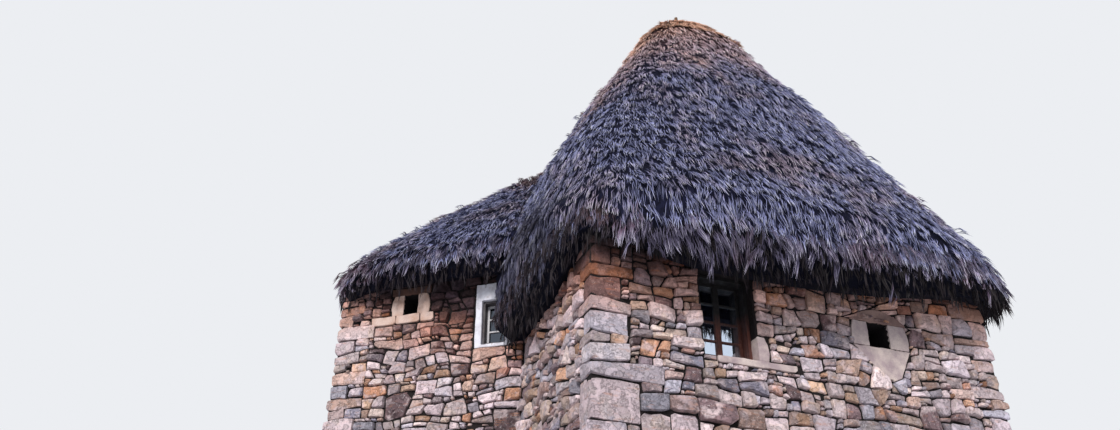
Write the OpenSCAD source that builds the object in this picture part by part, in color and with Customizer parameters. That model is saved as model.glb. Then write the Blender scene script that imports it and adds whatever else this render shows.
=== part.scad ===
// Thatched stone mountain hut. A squarish main block and a lower wing set at an angle to it
// stand under one bell-shaped roof of broom thatch. Millimetres, +Z up, +Y toward the back.
// The origin is the middle of the main block, on the ground.

/* [Walls] */
// Length of the main block along its front
main_length = 6300; // [5250:50:7560]
// Depth of the main block
main_depth = 5100; // [4250:50:6100]
// Height of the main walls
main_wall_height = 3500; // [3200:50:4000]
// Length of the front wall of the wing
wing_length = 3150; // [2900:50:3700]
// Depth of the wing
wing_depth = 4200; // [3700:50:4600]
// Height of the wing walls
wing_wall_height = 4300; // [4150:50:4600]
// How far back along the side the wing begins
wing_start = 2700; // [2400:50:2900]
// Angle between the wing front and the side of the main block
wing_turn = 54; // [48:1:58]
// Thickness of the rubble walls at the top
wall_thickness = 600; // [500:20:700]
// How much farther out the walls stand at the ground than at the top
wall_batter = 100; // [40:10:160]

/* [Main window] */
// Width of the main window opening
main_window_width = 800; // [660:10:960]
// Height of the main window opening
main_window_height = 1250; // [1050:10:1350]
// Height of the main window sill above the ground
main_window_sill_height = 1820; // [1600:20:1900]
// Distance from the near corner to the main window
main_window_offset = 1550; // [1300:50:1900]

/* [Small window] */
// Width of the small window opening
small_window_width = 350; // [290:10:420]
// Height of the small window opening
small_window_height = 380; // [320:10:450]
// Height of the bottom of the small window above the ground
small_window_sill_height = 2320; // [2200:20:2400]
// Distance from the near corner to the small window
small_window_offset = 4190; // [3900:50:4500]

/* [Wing windows] */
// Width of the glazed wing window opening
wing_window_width = 390; // [330:10:450]
// Height of the glazed wing window opening
wing_window_height = 750; // [630:10:850]
// Width of the unglazed wing vent opening
vent_width = 240; // [200:10:290]
// Height of the unglazed wing vent opening
vent_height = 360; // [300:10:400]

/* [Door] */
// Width of the door opening
door_width = 950; // [800:10:1100]
// Height of the door opening
door_height = 1900; // [1750:10:2100]

/* [Roof] */
// Height of the crown of the main roof above the ground
crown_height = 10020; // [9500:20:10800]
// Height at which the thatch stands out farthest
rim_height = 3300; // [3200:20:3400]
// Overhang of the thatch at its rim beyond the walls
rim_overhang = 860; // [750:10:1000]
// Overhang of the hanging fringe beyond the walls
fringe_overhang = 600; // [520:10:700]
// Height of the lower edge of the main fringe
fringe_height = 2820; // [2740:10:2900]
// How far the eave on the wing side is tucked in toward the wall
side_tuck = 420; // [350:10:500]
// Height of the wing ridge above the ground at the middle of the wing
wing_crown_height = 6800; // [6700:20:7300]
// Drop of the wing ridge for each unit of its length
wing_ridge_fall = 0.34; // [0.28:0.01:0.4]

/* [Timber] */
// Width of the wall plates
plate_width = 160; // [140:5:190]
// Radius of the rafter poles
rafter_radius = 60; // [50:2:70]
// Radius of the purlin poles
purlin_radius = 40; // [34:2:46]
// Radius of the ridge poles
ridge_radius = 90; // [80:2:110]

/* [Fit] */
// Gap left between pieces that touch
seat_gap = 0.3; // [0.2:0.1:0.6]

/* [Hidden] */
half_length = main_length / 2;
half_depth = main_depth / 2;
roof_sides = 64;
through = 2000;
floor_thickness = 150;
plate_height = 150;
plate_inset = 250;

// Directions along the wing front and into the wing
wing_along = [-sin(wing_turn), cos(wing_turn)];
wing_inward = [cos(wing_turn), sin(wing_turn)];
wing_root = [-half_length, -half_depth + wing_start];
wing_far = wing_root + wing_along * wing_length;
wing_back_far = wing_far + wing_inward * wing_depth;
// The wing back wall runs on until it meets the back of the main block
wing_reach = (half_depth - wing_back_far[1]) / -wing_along[1];
wing_back_near = wing_back_far - wing_along * wing_reach;

// Corners of the plan, counterclockwise from the near corner
plan = [
    [-half_length, -half_depth],
    [half_length, -half_depth],
    [half_length, half_depth],
    wing_back_near,
    wing_back_far,
    wing_far,
    wing_root
];
corners = len(plan);

function unit(v) = v / norm(v);
function side_left(v) = [-v[1], v[0]];
function corner_at(k) = plan[(k + corners) % corners];
// Inward shift of a corner so that both walls beside it move by one distance
function mitre(k, distance) =
    let (
        before = side_left(unit(corner_at(k) - corner_at(k - 1))),
        after = side_left(unit(corner_at(k + 1) - corner_at(k))),
        middle = unit(before + after)
    )
    corner_at(k) + middle * distance / (middle * after);
function plan_inset(distance) = [for (k = [0:corners - 1]) mitre(k, distance)];

// Colours of the materials
rubble = [0.70, 0.58, 0.47];
dressed = [0.80, 0.73, 0.62];
whitewash = [0.90, 0.89, 0.86];
window_timber = [0.40, 0.22, 0.15];
roof_timber = [0.42, 0.32, 0.22];
pane = [0.55, 0.68, 0.75, 0.6];
broom_thatch = [0.33, 0.29, 0.27];
bleached_thatch = [0.62, 0.45, 0.24];

// Stands the children on one wall: +X runs along its outer face, +Y into the wall
module on_wall(k) {
    heading = unit(corner_at(k + 1) - corner_at(k));
    translate([corner_at(k)[0], corner_at(k)[1], 0])
        rotate([0, 0, atan2(heading[1], heading[0])])
            children();
}

// A wall between two plan corners, mitred at both ends and thicker toward the ground
module battered_wall(k, height) {
    foot = [mitre(k, -wall_batter), mitre(k + 1, -wall_batter),
        mitre(k + 1, wall_thickness), mitre(k, wall_thickness)];
    head = [mitre(k, 0), mitre(k + 1, 0), mitre(k + 1, wall_thickness), mitre(k, wall_thickness)];
    polyhedron(
        points = [for (p = foot) [p[0], p[1], 0], for (p = head) [p[0], p[1], height]],
        faces = [[0, 1, 2, 3], [7, 6, 5, 4], [4, 5, 1, 0], [5, 6, 2, 1], [6, 7, 3, 2], [7, 4, 0, 3]]
    );
}

// A block let into a wall from its outer face
module wall_block(left, width, bottom, height, proud, depth) {
    translate([left, -proud, bottom])
        cube([width, proud + depth, height]);
}

// A stone with its outline drawn on the face of the wall
module face_stone(proud, depth) {
    translate([0, depth, 0])
        rotate([90, 0, 0])
            linear_extrude(proud + depth)
                children();
}

// A hole that runs right through a wall
module wall_hole(left, width, bottom, height) {
    translate([left, -through, bottom])
        cube([width, 2 * through, height]);
}

// How far the cut stones stand out of the wall, and how deep they are let into it
stone_proud = 75;
stone_depth = 220;
// How far the outline of a hand-cut stone wanders, and the joint between two of them
stone_wear = 16;
stone_joint = 8;

// A cut stone that is square to an opening on its top and left, with worn far corners
module worn_stone(left, width, bottom, height, proud, depth) {
    right = left + width;
    top = bottom + height;
    face_stone(proud, depth)
        polygon([[left, top], [left, bottom + stone_wear], [left + stone_wear, bottom],
            [right - 2.5 * stone_wear, bottom], [right, bottom + 2 * stone_wear],
            [right - stone_wear / 2, top]]);
}
// A jamb stone with its straight side at an opening and its far side bulging, to the left or right
module bulging_jamb(edge, width, bottom, height, side, proud, depth) {
    face_stone(proud, depth)
        polygon([[edge, bottom], [edge + side * (width - stone_wear), bottom],
            [edge + side * width, bottom + 0.35 * height],
            [edge + side * (width - stone_wear), bottom + 0.7 * height],
            [edge + side * (width - 3.5 * stone_wear), bottom + height], [edge, bottom + height]]);
}

// Main window opening and the stones around it
sill_slab_thickness = 100;
sill_slab_start = 170;
sill_slab_length = 1200;
main_lintel_height = 150;
main_lintel_bearing = 180;
main_lintel_depth = 240;
sill_slab_proud = 90;
sill_slab_depth = 300;
jamb_stone_width = 170;
jamb_stone_height = 360;

module main_window_hole() {
    wall_hole(main_window_offset, main_window_width, main_window_sill_height, main_window_height);
}
module main_window_sill_shape() {
    worn_stone(main_window_offset + sill_slab_start, sill_slab_length,
        main_window_sill_height - sill_slab_thickness, sill_slab_thickness,
        sill_slab_proud, sill_slab_depth);
}
module main_window_lintel_shape() {
    wall_block(main_window_offset - main_lintel_bearing, main_window_width + 2 * main_lintel_bearing,
        main_window_sill_height + main_window_height, main_lintel_height,
        stone_proud - 25, main_lintel_depth);
}
module main_window_jamb_shape() {
    bulging_jamb(main_window_offset + main_window_width, jamb_stone_width,
        main_window_sill_height, jamb_stone_height, 1, stone_proud - 10, stone_depth);
}

// Small window opening and its four stones
small_left_width = 290;
small_right_width = 330;
small_sill_drop = 500;
small_head_rise = 210;
small_left = small_window_offset - small_left_width;
small_right = small_window_offset + small_window_width + small_right_width;
small_top = small_window_sill_height + small_window_height;
small_head_radius = (pow((small_right - small_left) / 2, 2) + pow(small_head_rise, 2))
    / (2 * small_head_rise);

module small_window_hole() {
    wall_hole(small_window_offset, small_window_width, small_window_sill_height,
        small_window_height);
}
module small_window_sill_shape() {
    point_height = small_window_sill_height - small_sill_drop;
    face_stone(stone_proud - 20, stone_depth)
        polygon([[small_left, small_window_sill_height],
            [small_left + 470, point_height + 2.5 * stone_wear], [small_left + 590, point_height],
            [small_right - 230, point_height + 4 * stone_wear], [small_right, small_window_sill_height]]);
}
module small_window_left_jamb_shape() {
    bulging_jamb(small_window_offset, small_left_width,
        small_window_sill_height, small_window_height, -1, stone_proud - 20, stone_depth);
}
module small_window_right_jamb_shape() {
    bulging_jamb(small_window_offset + small_window_width, small_right_width,
        small_window_sill_height, small_window_height, 1, stone_proud - 20, stone_depth);
}
module small_window_head_shape() {
    face_stone(stone_proud - 20, stone_depth)
        intersection() {
            translate([(small_left + small_right) / 2, small_top + small_head_rise - small_head_radius])
                circle(r = small_head_radius, $fn = 120);
            translate([small_left + stone_wear, small_top])
                square([small_right - small_left - 2 * stone_wear, 2 * small_head_rise]);
        }
}

// Glazed window of the wing, with its whitewashed surround
wing_window_left = wing_length - 720;
wing_window_bottom = 2900;
wing_band = 110;
wing_band_head = 290;
wing_band_foot = 60;
wing_band_proud = 55;
wing_band_depth = 160;

module wing_window_hole() {
    wall_hole(wing_window_left, wing_window_width, wing_window_bottom, wing_window_height);
}
module wing_window_surround_shape() {
    wall_block(wing_window_left - wing_band, wing_window_width + 2 * wing_band,
        wing_window_bottom - wing_band_foot,
        wing_window_height + wing_band_foot + wing_band_head, wing_band_proud, wing_band_depth);
}

// Unglazed vent of the wing
vent_left = wing_length - 2080;
vent_bottom = 3570;
vent_sill_thickness = 150;
vent_sill_start = 540;
// Where the three slabs of the vent sill begin and end, from its left end
vent_sill_ends = [0, 430, 850, 1090];
vent_jamb_width = 220;
vent_lintel_height = 130;
vent_sill_proud = 70;
vent_stone_proud = 45;
vent_stone_depth = 240;

module vent_hole() {
    wall_hole(vent_left, vent_width, vent_bottom, vent_height);
}
module vent_sill_shape() {
    for (slab = [0:len(vent_sill_ends) - 2])
        worn_stone(vent_left - vent_sill_start + vent_sill_ends[slab],
            vent_sill_ends[slab + 1] - vent_sill_ends[slab] - stone_joint,
            vent_bottom - vent_sill_thickness, vent_sill_thickness, vent_sill_proud, vent_stone_depth);
}
module vent_jambs_shape() {
    bulging_jamb(vent_left, vent_jamb_width, vent_bottom, vent_height,
        -1, vent_stone_proud, vent_stone_depth);
    bulging_jamb(vent_left + vent_width, vent_jamb_width, vent_bottom, vent_height,
        1, vent_stone_proud, vent_stone_depth);
}
module vent_lintel_shape() {
    wall_block(vent_left - vent_jamb_width, vent_width + 2 * vent_jamb_width,
        vent_bottom + vent_height, vent_lintel_height, vent_stone_proud, vent_stone_depth);
}

// Door on the right side
door_left = (main_depth - door_width) / 2;
door_jamb_width = 190;
door_lintel_height = 220;
door_recess = 260;

module door_hole() {
    wall_hole(door_left, door_width, floor_thickness, door_height);
}
module door_surround_block() {
    wall_block(door_left - door_jamb_width, door_width + 2 * door_jamb_width, 0,
        floor_thickness + door_height + door_lintel_height, wall_batter + 20, 200);
}

// Main wall plates: a ring of squared timber on the wall heads
module rectangle_ring(half_x, half_y, width, height) {
    difference() {
        translate([-half_x - width / 2, -half_y - width / 2, 0])
            cube([2 * half_x + width, 2 * half_y + width, height]);
        translate([-half_x + width / 2, -half_y + width / 2, -height])
            cube([2 * half_x - width, 2 * half_y - width, 3 * height]);
    }
}
plate_half_x = half_length - plate_inset - 50;
plate_half_y = half_depth - plate_inset - 50;
module main_plate_shape() {
    translate([0, 0, main_wall_height])
        rectangle_ring(plate_half_x, plate_half_y, plate_width, plate_height);
}

module front_wall() {
    color(rubble)
        difference() {
            battered_wall(0, main_wall_height);
            on_wall(0) {
                main_window_hole();
                main_window_sill_shape();
                main_window_lintel_shape();
                main_window_jamb_shape();
                small_window_hole();
                small_window_sill_shape();
                small_window_left_jamb_shape();
                small_window_right_jamb_shape();
                small_window_head_shape();
            }
        }
}
module right_side_wall() {
    color(rubble)
        difference() {
            battered_wall(1, main_wall_height);
            on_wall(1) {
                door_hole();
                door_surround_block();
            }
        }
}
module back_wall() {
    color(rubble)
        battered_wall(2, main_wall_height);
}
module wing_back_wall() {
    color(rubble)
        difference() {
            battered_wall(3, wing_wall_height);
            main_plate_shape();
        }
}
module wing_end_wall() {
    color(rubble)
        battered_wall(4, wing_wall_height);
}
module wing_front_wall() {
    color(rubble)
        difference() {
            battered_wall(5, wing_wall_height);
            main_plate_shape();
            on_wall(5) {
                wing_window_hole();
                wing_window_surround_shape();
                vent_hole();
                vent_sill_shape();
                vent_jambs_shape();
                vent_lintel_shape();
            }
        }
}
module left_side_wall() {
    color(rubble)
        battered_wall(6, main_wall_height);
}
module house_floor() {
    color(dressed)
        linear_extrude(floor_thickness)
            polygon(plan_inset(wall_thickness + seat_gap));
}

module main_window_sill() {
    color(dressed) on_wall(0) main_window_sill_shape();
}
module main_window_lintel() {
    color(dressed) on_wall(0) main_window_lintel_shape();
}
module main_window_jamb_stone() {
    color(dressed) on_wall(0) main_window_jamb_shape();
}
module small_window_sill() {
    color(dressed) on_wall(0) small_window_sill_shape();
}
module small_window_left_jamb() {
    color(dressed) on_wall(0) small_window_left_jamb_shape();
}
module small_window_right_jamb() {
    color(dressed) on_wall(0) small_window_right_jamb_shape();
}
module small_window_head() {
    color(dressed) on_wall(0) small_window_head_shape();
}
module wing_window_surround() {
    color(whitewash)
        on_wall(5)
            difference() {
                wing_window_surround_shape();
                wing_window_hole();
            }
}
module wing_vent_sill() {
    color(dressed) on_wall(5) vent_sill_shape();
}
module wing_vent_jambs() {
    color(dressed) on_wall(5) vent_jambs_shape();
}
module wing_vent_lintel() {
    color(dressed) on_wall(5) vent_lintel_shape();
}
module door_surround() {
    color(dressed)
        on_wall(1)
            difference() {
                door_surround_block();
                door_hole();
            }
}

// Timber frame that fills an opening, with its clear inside
module opening_frame(left, width, bottom, height, recess, depth, member) {
    difference() {
        translate([left + seat_gap, recess, bottom + seat_gap])
            cube([width - 2 * seat_gap, depth, height - 2 * seat_gap]);
        translate([left + member, recess - depth, bottom + member])
            cube([width - 2 * member, 3 * depth, height - 2 * member]);
    }
}
// One glazed leaf with its bars in front and a rebate for the glass behind
casement_depth = 45;
bar_depth = 24;
bar_width = 22;
glass_thickness = 4;
rebate = 8;
module casement(left, width, bottom, height, recess, stile, rows) {
    clear_width = width - 2 * stile;
    clear_height = height - 2 * stile;
    pane_height = (clear_height - (rows - 1) * bar_width) / rows;
    difference() {
        translate([left, recess, bottom])
            cube([width, casement_depth, height]);
        for (row = [0:rows - 1])
            translate([left + stile, recess - casement_depth,
                bottom + stile + row * (pane_height + bar_width)])
                cube([clear_width, 3 * casement_depth, pane_height]);
        translate([left + stile - rebate, recess + bar_depth, bottom + stile - rebate])
            cube([clear_width + 2 * rebate, casement_depth, clear_height + 2 * rebate]);
    }
}
module casement_pane(left, width, bottom, height, recess, stile) {
    translate([left + stile - rebate + seat_gap, recess + bar_depth + seat_gap,
        bottom + stile - rebate + seat_gap])
        cube([width - 2 * stile + 2 * rebate - 2 * seat_gap, glass_thickness,
            height - 2 * stile + 2 * rebate - 2 * seat_gap]);
}

// Main window: a deep frame with two leaves that meet in the middle
main_frame_recess = 100;
main_frame_depth = 215;
main_frame_member = 45;
main_stile = 42;
main_leaf_setback = 155;
leaf_recess = main_frame_recess + main_leaf_setback;
leaf_width = (main_window_width - 2 * main_frame_member) / 2 - seat_gap * 1.5;
leaf_height = main_window_height - 2 * main_frame_member - 2 * seat_gap;
leaf_bottom = main_window_sill_height + main_frame_member + seat_gap;
left_leaf_start = main_window_offset + main_frame_member + seat_gap;
right_leaf_start = left_leaf_start + leaf_width + seat_gap;
main_rows = 4;

module main_window_frame() {
    color(window_timber)
        on_wall(0)
            opening_frame(main_window_offset, main_window_width, main_window_sill_height,
                main_window_height, main_frame_recess, main_frame_depth, main_frame_member);
}
module main_window_left_casement() {
    color(window_timber)
        on_wall(0)
            casement(left_leaf_start, leaf_width, leaf_bottom, leaf_height,
                leaf_recess, main_stile, main_rows);
}
module main_window_right_casement() {
    color(window_timber)
        on_wall(0)
            casement(right_leaf_start, leaf_width, leaf_bottom, leaf_height,
                leaf_recess, main_stile, main_rows);
}
module main_window_glass() {
    color(pane)
        on_wall(0)
            for (start = [left_leaf_start, right_leaf_start])
                casement_pane(start, leaf_width, leaf_bottom, leaf_height, leaf_recess, main_stile);
}

// Wing window: a deep frame with one leaf
wing_frame_recess = 10;
wing_frame_depth = 180;
wing_frame_member = 32;
wing_stile = 34;
wing_leaf_start = wing_window_left + wing_frame_member + seat_gap;
wing_leaf_width = wing_window_width - 2 * wing_frame_member - 2 * seat_gap;
wing_leaf_bottom = wing_window_bottom + wing_frame_member + seat_gap;
wing_leaf_height = wing_window_height - 2 * wing_frame_member - 2 * seat_gap;
wing_leaf_setback = 120;
wing_leaf_recess = wing_frame_recess + wing_leaf_setback;
wing_rows = 3;

module wing_window_frame() {
    color(window_timber)
        on_wall(5)
            opening_frame(wing_window_left, wing_window_width, wing_window_bottom,
                wing_window_height, wing_frame_recess, wing_frame_depth, wing_frame_member);
}
module wing_window_casement() {
    color(window_timber)
        on_wall(5)
            casement(wing_leaf_start, wing_leaf_width, wing_leaf_bottom, wing_leaf_height,
                wing_leaf_recess, wing_stile, wing_rows);
}
module wing_window_glass() {
    color(pane)
        on_wall(5)
            casement_pane(wing_leaf_start, wing_leaf_width, wing_leaf_bottom, wing_leaf_height,
                wing_leaf_recess, wing_stile);
}

// Door: a frame behind the stone surround and a closed plank leaf against it
door_frame_depth = 100;
door_frame_member = 80;
door_leaf_thickness = 45;
door_edge_gap = 4;

module door_frame() {
    color(roof_timber)
        on_wall(1)
            opening_frame(door_left, door_width, floor_thickness, door_height,
                door_recess, door_frame_depth, door_frame_member);
}
module door_leaf() {
    color(window_timber)
        on_wall(1)
            translate([door_left + door_edge_gap, door_recess - door_leaf_thickness - seat_gap,
                floor_thickness + door_edge_gap])
                cube([door_width - 2 * door_edge_gap, door_leaf_thickness,
                    door_height - 2 * door_edge_gap]);
}

// A round pole between two points, run on past both of them
pole_overrun = 250;
pole_turn = 37;
module pole(from, to, radius) {
    run = to - from;
    spread = norm([run[0], run[1]]);
    translate(from)
        rotate([0, atan2(spread, run[2]), atan2(run[1], run[0])])
            rotate([0, 0, pole_turn])
                translate([0, 0, -pole_overrun])
                    cylinder(h = norm(run) + 2 * pole_overrun, r = radius, $fn = 32);
}
// Keeps only what lies between two heights
module between_heights(low, high) {
    intersection() {
        children();
        translate([-9000, -9000, low])
            cube([18000, 18000, high - low]);
    }
}

// Main roof timbers
plate_top = main_wall_height + plate_height;
collar_height = crown_height - 1820;
collar_half_x = 950;
collar_half_y = 600;
collar_beam = 120;
ridge_pole_height = crown_height - 1020;
ridge_pole_half = 380;
strut_radius = 45;
tie_width = 160;
tie_height = 180;
front_rafters = 7;
side_rafters = 5;
front_rafter_span = plate_half_x * 2 - 700;
side_rafter_span = plate_half_y * 2 - 900;
purlin_rows = 5;
purlin_lap = 6;
hip_gap = 250;

module main_wall_plates() {
    post_width = 180;
    color(roof_timber) {
        main_plate_shape();
        translate([-plate_half_x - post_width / 2, plate_half_y - post_width / 2, floor_thickness])
            cube([post_width, post_width, main_wall_height - floor_thickness]);
    }
}
// Cuts a roof timber back where the taller walls of the wing stand
module clear_of_wing_walls() {
    difference() {
        children();
        battered_wall(3, wing_wall_height);
        battered_wall(5, wing_wall_height);
    }
}
module main_tie_beams() {
    color(roof_timber)
        clear_of_wing_walls()
            for (side = [-1, 1])
                translate([side * front_rafter_span / 4 - tie_width / 2,
                    -plate_half_y - plate_width / 2, plate_top])
                    cube([tie_width, 2 * plate_half_y + plate_width, tie_height]);
}
// Rafters of one side, from the wall plate up to the collar
module rafter_fan(count, foot_span, top_span, foot_out, top_out) {
    for (step = [0:count - 1])
        let (place = step / (count - 1) - 0.5)
            pole([place * foot_span, -foot_out, plate_top], [place * top_span, -top_out, collar_height],
                rafter_radius);
}
// Turns a front piece to all four sides of the roof, as [front, right, back, left]
module main_rafters() {
    color(roof_timber)
        clear_of_wing_walls()
            between_heights(plate_top, collar_height)
                union() {
                    for (turn = [0, 180])
                        rotate([0, 0, turn])
                            rafter_fan(front_rafters, front_rafter_span, 2 * collar_half_x - 140,
                                plate_half_y, collar_half_y);
                    for (turn = [90, 270])
                        rotate([0, 0, turn])
                            rafter_fan(side_rafters, side_rafter_span, 2 * collar_half_y - 340,
                                plate_half_x, collar_half_x);
                }
}
// Purlins that lie across the rafters of one side
module purlin_rows_on(foot_out, top_out, side_foot, side_top) {
    rise = collar_height - plate_top;
    lean = atan2(foot_out - top_out, rise);
    off = rafter_radius + purlin_radius + seat_gap;
    for (row = [1:purlin_rows]) {
        height = plate_top + rise * (row - 0.1) / (purlin_rows + 0.3);
        share = (height - plate_top) / rise;
        out = foot_out + (top_out - foot_out) * share;
        half = side_foot + (side_top - side_foot) * share - hip_gap;
        translate([-half, -out - off * cos(lean), height + off * sin(lean)])
            rotate([0, 90, 0])
                cylinder(h = 2 * half, r = purlin_radius, $fn = 32);
    }
}
module main_purlins() {
    color(roof_timber)
        clear_of_wing_walls() {
            for (turn = [0, 180])
                rotate([0, 0, turn])
                    purlin_rows_on(plate_half_y, collar_half_y, plate_half_x, collar_half_x);
            for (turn = [90, 270])
                rotate([0, 0, turn])
                    purlin_rows_on(plate_half_x, collar_half_x, plate_half_y, collar_half_y);
        }
}
module crown_collar() {
    color(roof_timber)
        translate([0, 0, collar_height])
            rectangle_ring(collar_half_x, collar_half_y, collar_beam, collar_beam);
}
module main_ridge_pole_shape() {
    translate([-ridge_pole_half, 0, ridge_pole_height])
        rotate([0, 90, 0])
            cylinder(h = 2 * ridge_pole_half, r = ridge_radius, $fn = 48);
}
module crown_struts() {
    strut_foot = collar_height + collar_beam;
    color(roof_timber)
        difference() {
            between_heights(strut_foot, ridge_pole_height)
                union() {
                    for (x = [-1, 1], y = [-1, 1])
                        pole([x * collar_half_x, y * collar_half_y, strut_foot],
                            [x * (ridge_pole_half - 100), 0, ridge_pole_height], strut_radius);
                }
            main_ridge_pole_shape();
        }
}
module main_ridge_pole() {
    color(roof_timber) main_ridge_pole_shape();
}

// Wing roof timbers, drawn along the wing front from its far end
wing_middle = wing_length / 2;
wing_rim_height = wing_wall_height - 50;
wing_plate_top = wing_wall_height + plate_height;
wing_ridge_pole_height = wing_crown_height - 620;
wing_rafter_places = [700, 1250, 1800, 2350];
wing_purlin_rows = 4;
wing_plate_stop = wing_length - 200;
wing_plate_inset = 300;

// How much of the ridge fall a height takes, from none at the rim to all at the crown
function wing_level(height) = (height - wing_rim_height) / (wing_crown_height - wing_rim_height);
function wing_tilt(height, x) =
    wing_ridge_fall * max(0, wing_level(height)) * (x - wing_middle);
function wing_ridge_point(x) =
    [x, wing_depth / 2, wing_ridge_pole_height + wing_tilt(wing_ridge_pole_height, x)];

module wing_wall_plates() {
    outer_edge = wing_plate_inset - plate_width / 2;
    inner_edge = wing_plate_inset + plate_width / 2;
    color(roof_timber)
        on_wall(5)
            translate([0, 0, wing_wall_height])
                difference() {
                    translate([outer_edge, outer_edge, 0])
                        cube([wing_plate_stop + 900, wing_depth - 2 * outer_edge, plate_height]);
                    translate([inner_edge, inner_edge, -plate_height])
                        cube([through * 3, wing_depth - 2 * inner_edge, 3 * plate_height]);
                    translate([wing_plate_stop, -through, -plate_height])
                        cube([through, through + wing_depth / 2, 3 * plate_height]);
                }
}
// How far the ridge pole runs on past the first and the last rafter pair
ridge_pole_end = 150;
module wing_ridge_pole_shape() {
    start = wing_rafter_places[0] - ridge_pole_end;
    end = wing_rafter_places[3] + ridge_pole_end;
    intersection() {
        pole(wing_ridge_point(start), wing_ridge_point(end), ridge_radius);
        translate([start, 0, 0])
            cube([end - start, wing_depth, wing_crown_height + through]);
    }
}
module wing_rafter_shapes(sides = [-1, 1]) {
    for (x = wing_rafter_places, side = sides)
        pole([x, wing_depth / 2 + side * (wing_depth / 2 - wing_plate_inset), wing_plate_top],
            wing_ridge_point(x), rafter_radius);
}
// The rafters of each side stop this far short of the ridge line, against the ridge pole
wing_rafter_stop = 30;
module wing_rafters() {
    color(roof_timber)
        on_wall(5)
            for (half = [0, 1])
                difference() {
                    intersection() {
                        wing_rafter_shapes([2 * half - 1]);
                        translate([0, half * (wing_depth / 2 + wing_rafter_stop), wing_plate_top])
                            cube([wing_length, wing_depth / 2 - wing_rafter_stop, wing_crown_height]);
                    }
                    wing_ridge_pole_shape();
                }
}
// Where a purlin lies on the rafters under one point of the ridge
function wing_purlin_end(ridge, side, share, off) =
    let (
        foot = wing_depth / 2 - wing_plate_inset,
        slope = atan2(ridge[2] - wing_plate_top, foot)
    )
    [ridge[0], wing_depth / 2 + side * (foot * (1 - share) + off * sin(slope)),
        wing_plate_top + (ridge[2] - wing_plate_top) * share + off * cos(slope)];
module wing_purlins() {
    off = rafter_radius + purlin_radius - purlin_lap;
    color(roof_timber)
        on_wall(5)
            difference() {
                for (side = [-1, 1], row = [1:wing_purlin_rows])
                    let (
                        share = (row - 0.3) / (wing_purlin_rows + 0.4),
                        start = wing_ridge_point(wing_rafter_places[0]),
                        end = wing_ridge_point(wing_rafter_places[3])
                    )
                        pole(wing_purlin_end(start, side, share, off), wing_purlin_end(end, side, share, off),
                            purlin_radius);
                wing_rafter_shapes();
            }
}
module wing_ridge_pole() {
    color(roof_timber) on_wall(5) wing_ridge_pole_shape();
}

// Thatch. Each shell is a stack of closed outlines: down the inside from the inner crown,
// around the hanging fringe, and up the outside to the crown.
function outline(half_x, half_y, squareness, angle) =
    let (
        c = cos(angle),
        s = sin(angle),
        reach = pow(pow(abs(c), squareness) + pow(abs(s), squareness), -1 / squareness)
    )
    [half_x * reach * c, half_y * reach * s];

function middle_of(ring) =
    [for (axis = [0:2]) [for (p = ring) p[axis]] * [for (p = ring) 1] / len(ring)];

// Joins a stack of outlines into one closed solid, with a centre point in each end
module skin(rings) {
    count = len(rings);
    sides = len(rings[0]);
    last = count * sides;
    first_middle = middle_of(rings[0]);
    last_middle = middle_of(rings[count - 1]);
    polyhedron(
        points = [for (r = rings) each r, first_middle, last_middle],
        faces = [
            for (r = [0:count - 2], i = [0:sides - 1])
                let (j = (i + 1) % sides, low = r * sides, high = low + sides)
                each [[high + i, high + j, low + j], [high + i, low + j, low + i]],
            for (i = [0:sides - 1]) [i, (i + 1) % sides, last],
            for (i = [0:sides - 1]) [last - sides + (i + 1) % sides, last - sides + i, last + 1]
        ]
    );
}

// Spread of the bell for each share of its height above the rim
bell_stations = [[0, 1], [0.10, 0.970], [0.25, 0.820], [0.42, 0.657], [0.60, 0.494],
    [0.76, 0.311], [0.89, 0.192], [0.96, 0.092], [1, 0]];
bell_steps = [0, 0.05, 0.1, 0.17, 0.25, 0.33, 0.42, 0.51, 0.6, 0.68, 0.76, 0.83];
cap_share = 0.9;
cap_steps = [0.93, 0.96, 0.985, 1];
cap_lip = 25;
crown_half_x = 320;
crown_half_y = 80;
crown_shift = [-20, -40];
rim_squareness = 4;
tuck_end = 0.33;
crown_squareness = 2.2;

// Places around the main eave where the fringe is cut higher or hangs lower
fringe_changes = [[222, 480, 11], [332, 540, 34], [25, 400, 40], [90, 200, 50]];
function fringe_lift(angle) =
    let (lifts = [for (c = fringe_changes)
        let (away = abs(angle - c[0]), turn = min(away, 360 - away))
        c[1] * exp(-pow(turn / c[2], 2))])
    lifts * [for (l = lifts) 1];

function main_ring(height, half_x, half_y, squareness, shift = [0, 0], lift = 0, tuck = 0) =
    [for (i = [0:roof_sides - 1])
        let (
            angle = 360 * i / roof_sides,
            p = outline(half_x - (cos(angle) < 0 ? tuck : 0), half_y, squareness, angle)
        )
        [p[0] + shift[0], p[1] + shift[1], height + lift * fringe_lift(angle)]];
function bell_ring(share, lip = 0) =
    let (
        spread = lookup(share, bell_stations),
        half_x = crown_half_x + (half_length + rim_overhang - crown_half_x) * spread + lip,
        half_y = crown_half_y + (half_depth + rim_overhang + 50 - crown_half_y) * spread + lip
    )
    main_ring(rim_height + (crown_height - rim_height) * share, half_x, half_y,
        rim_squareness + (crown_squareness - rim_squareness) * share, crown_shift * (1 - spread),
        0.35 * max(0, 1 - share * 10), side_tuck * max(0, 1 - share / tuck_end));
function around_block(height, out, squareness, lift = 0, tuck = 0) =
    main_ring(height, half_length + out, half_depth + out, squareness, [0, 0], lift, tuck);

// The thatch reaches this far below the wall heads it is bedded on
seat_lap = 40;
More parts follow.
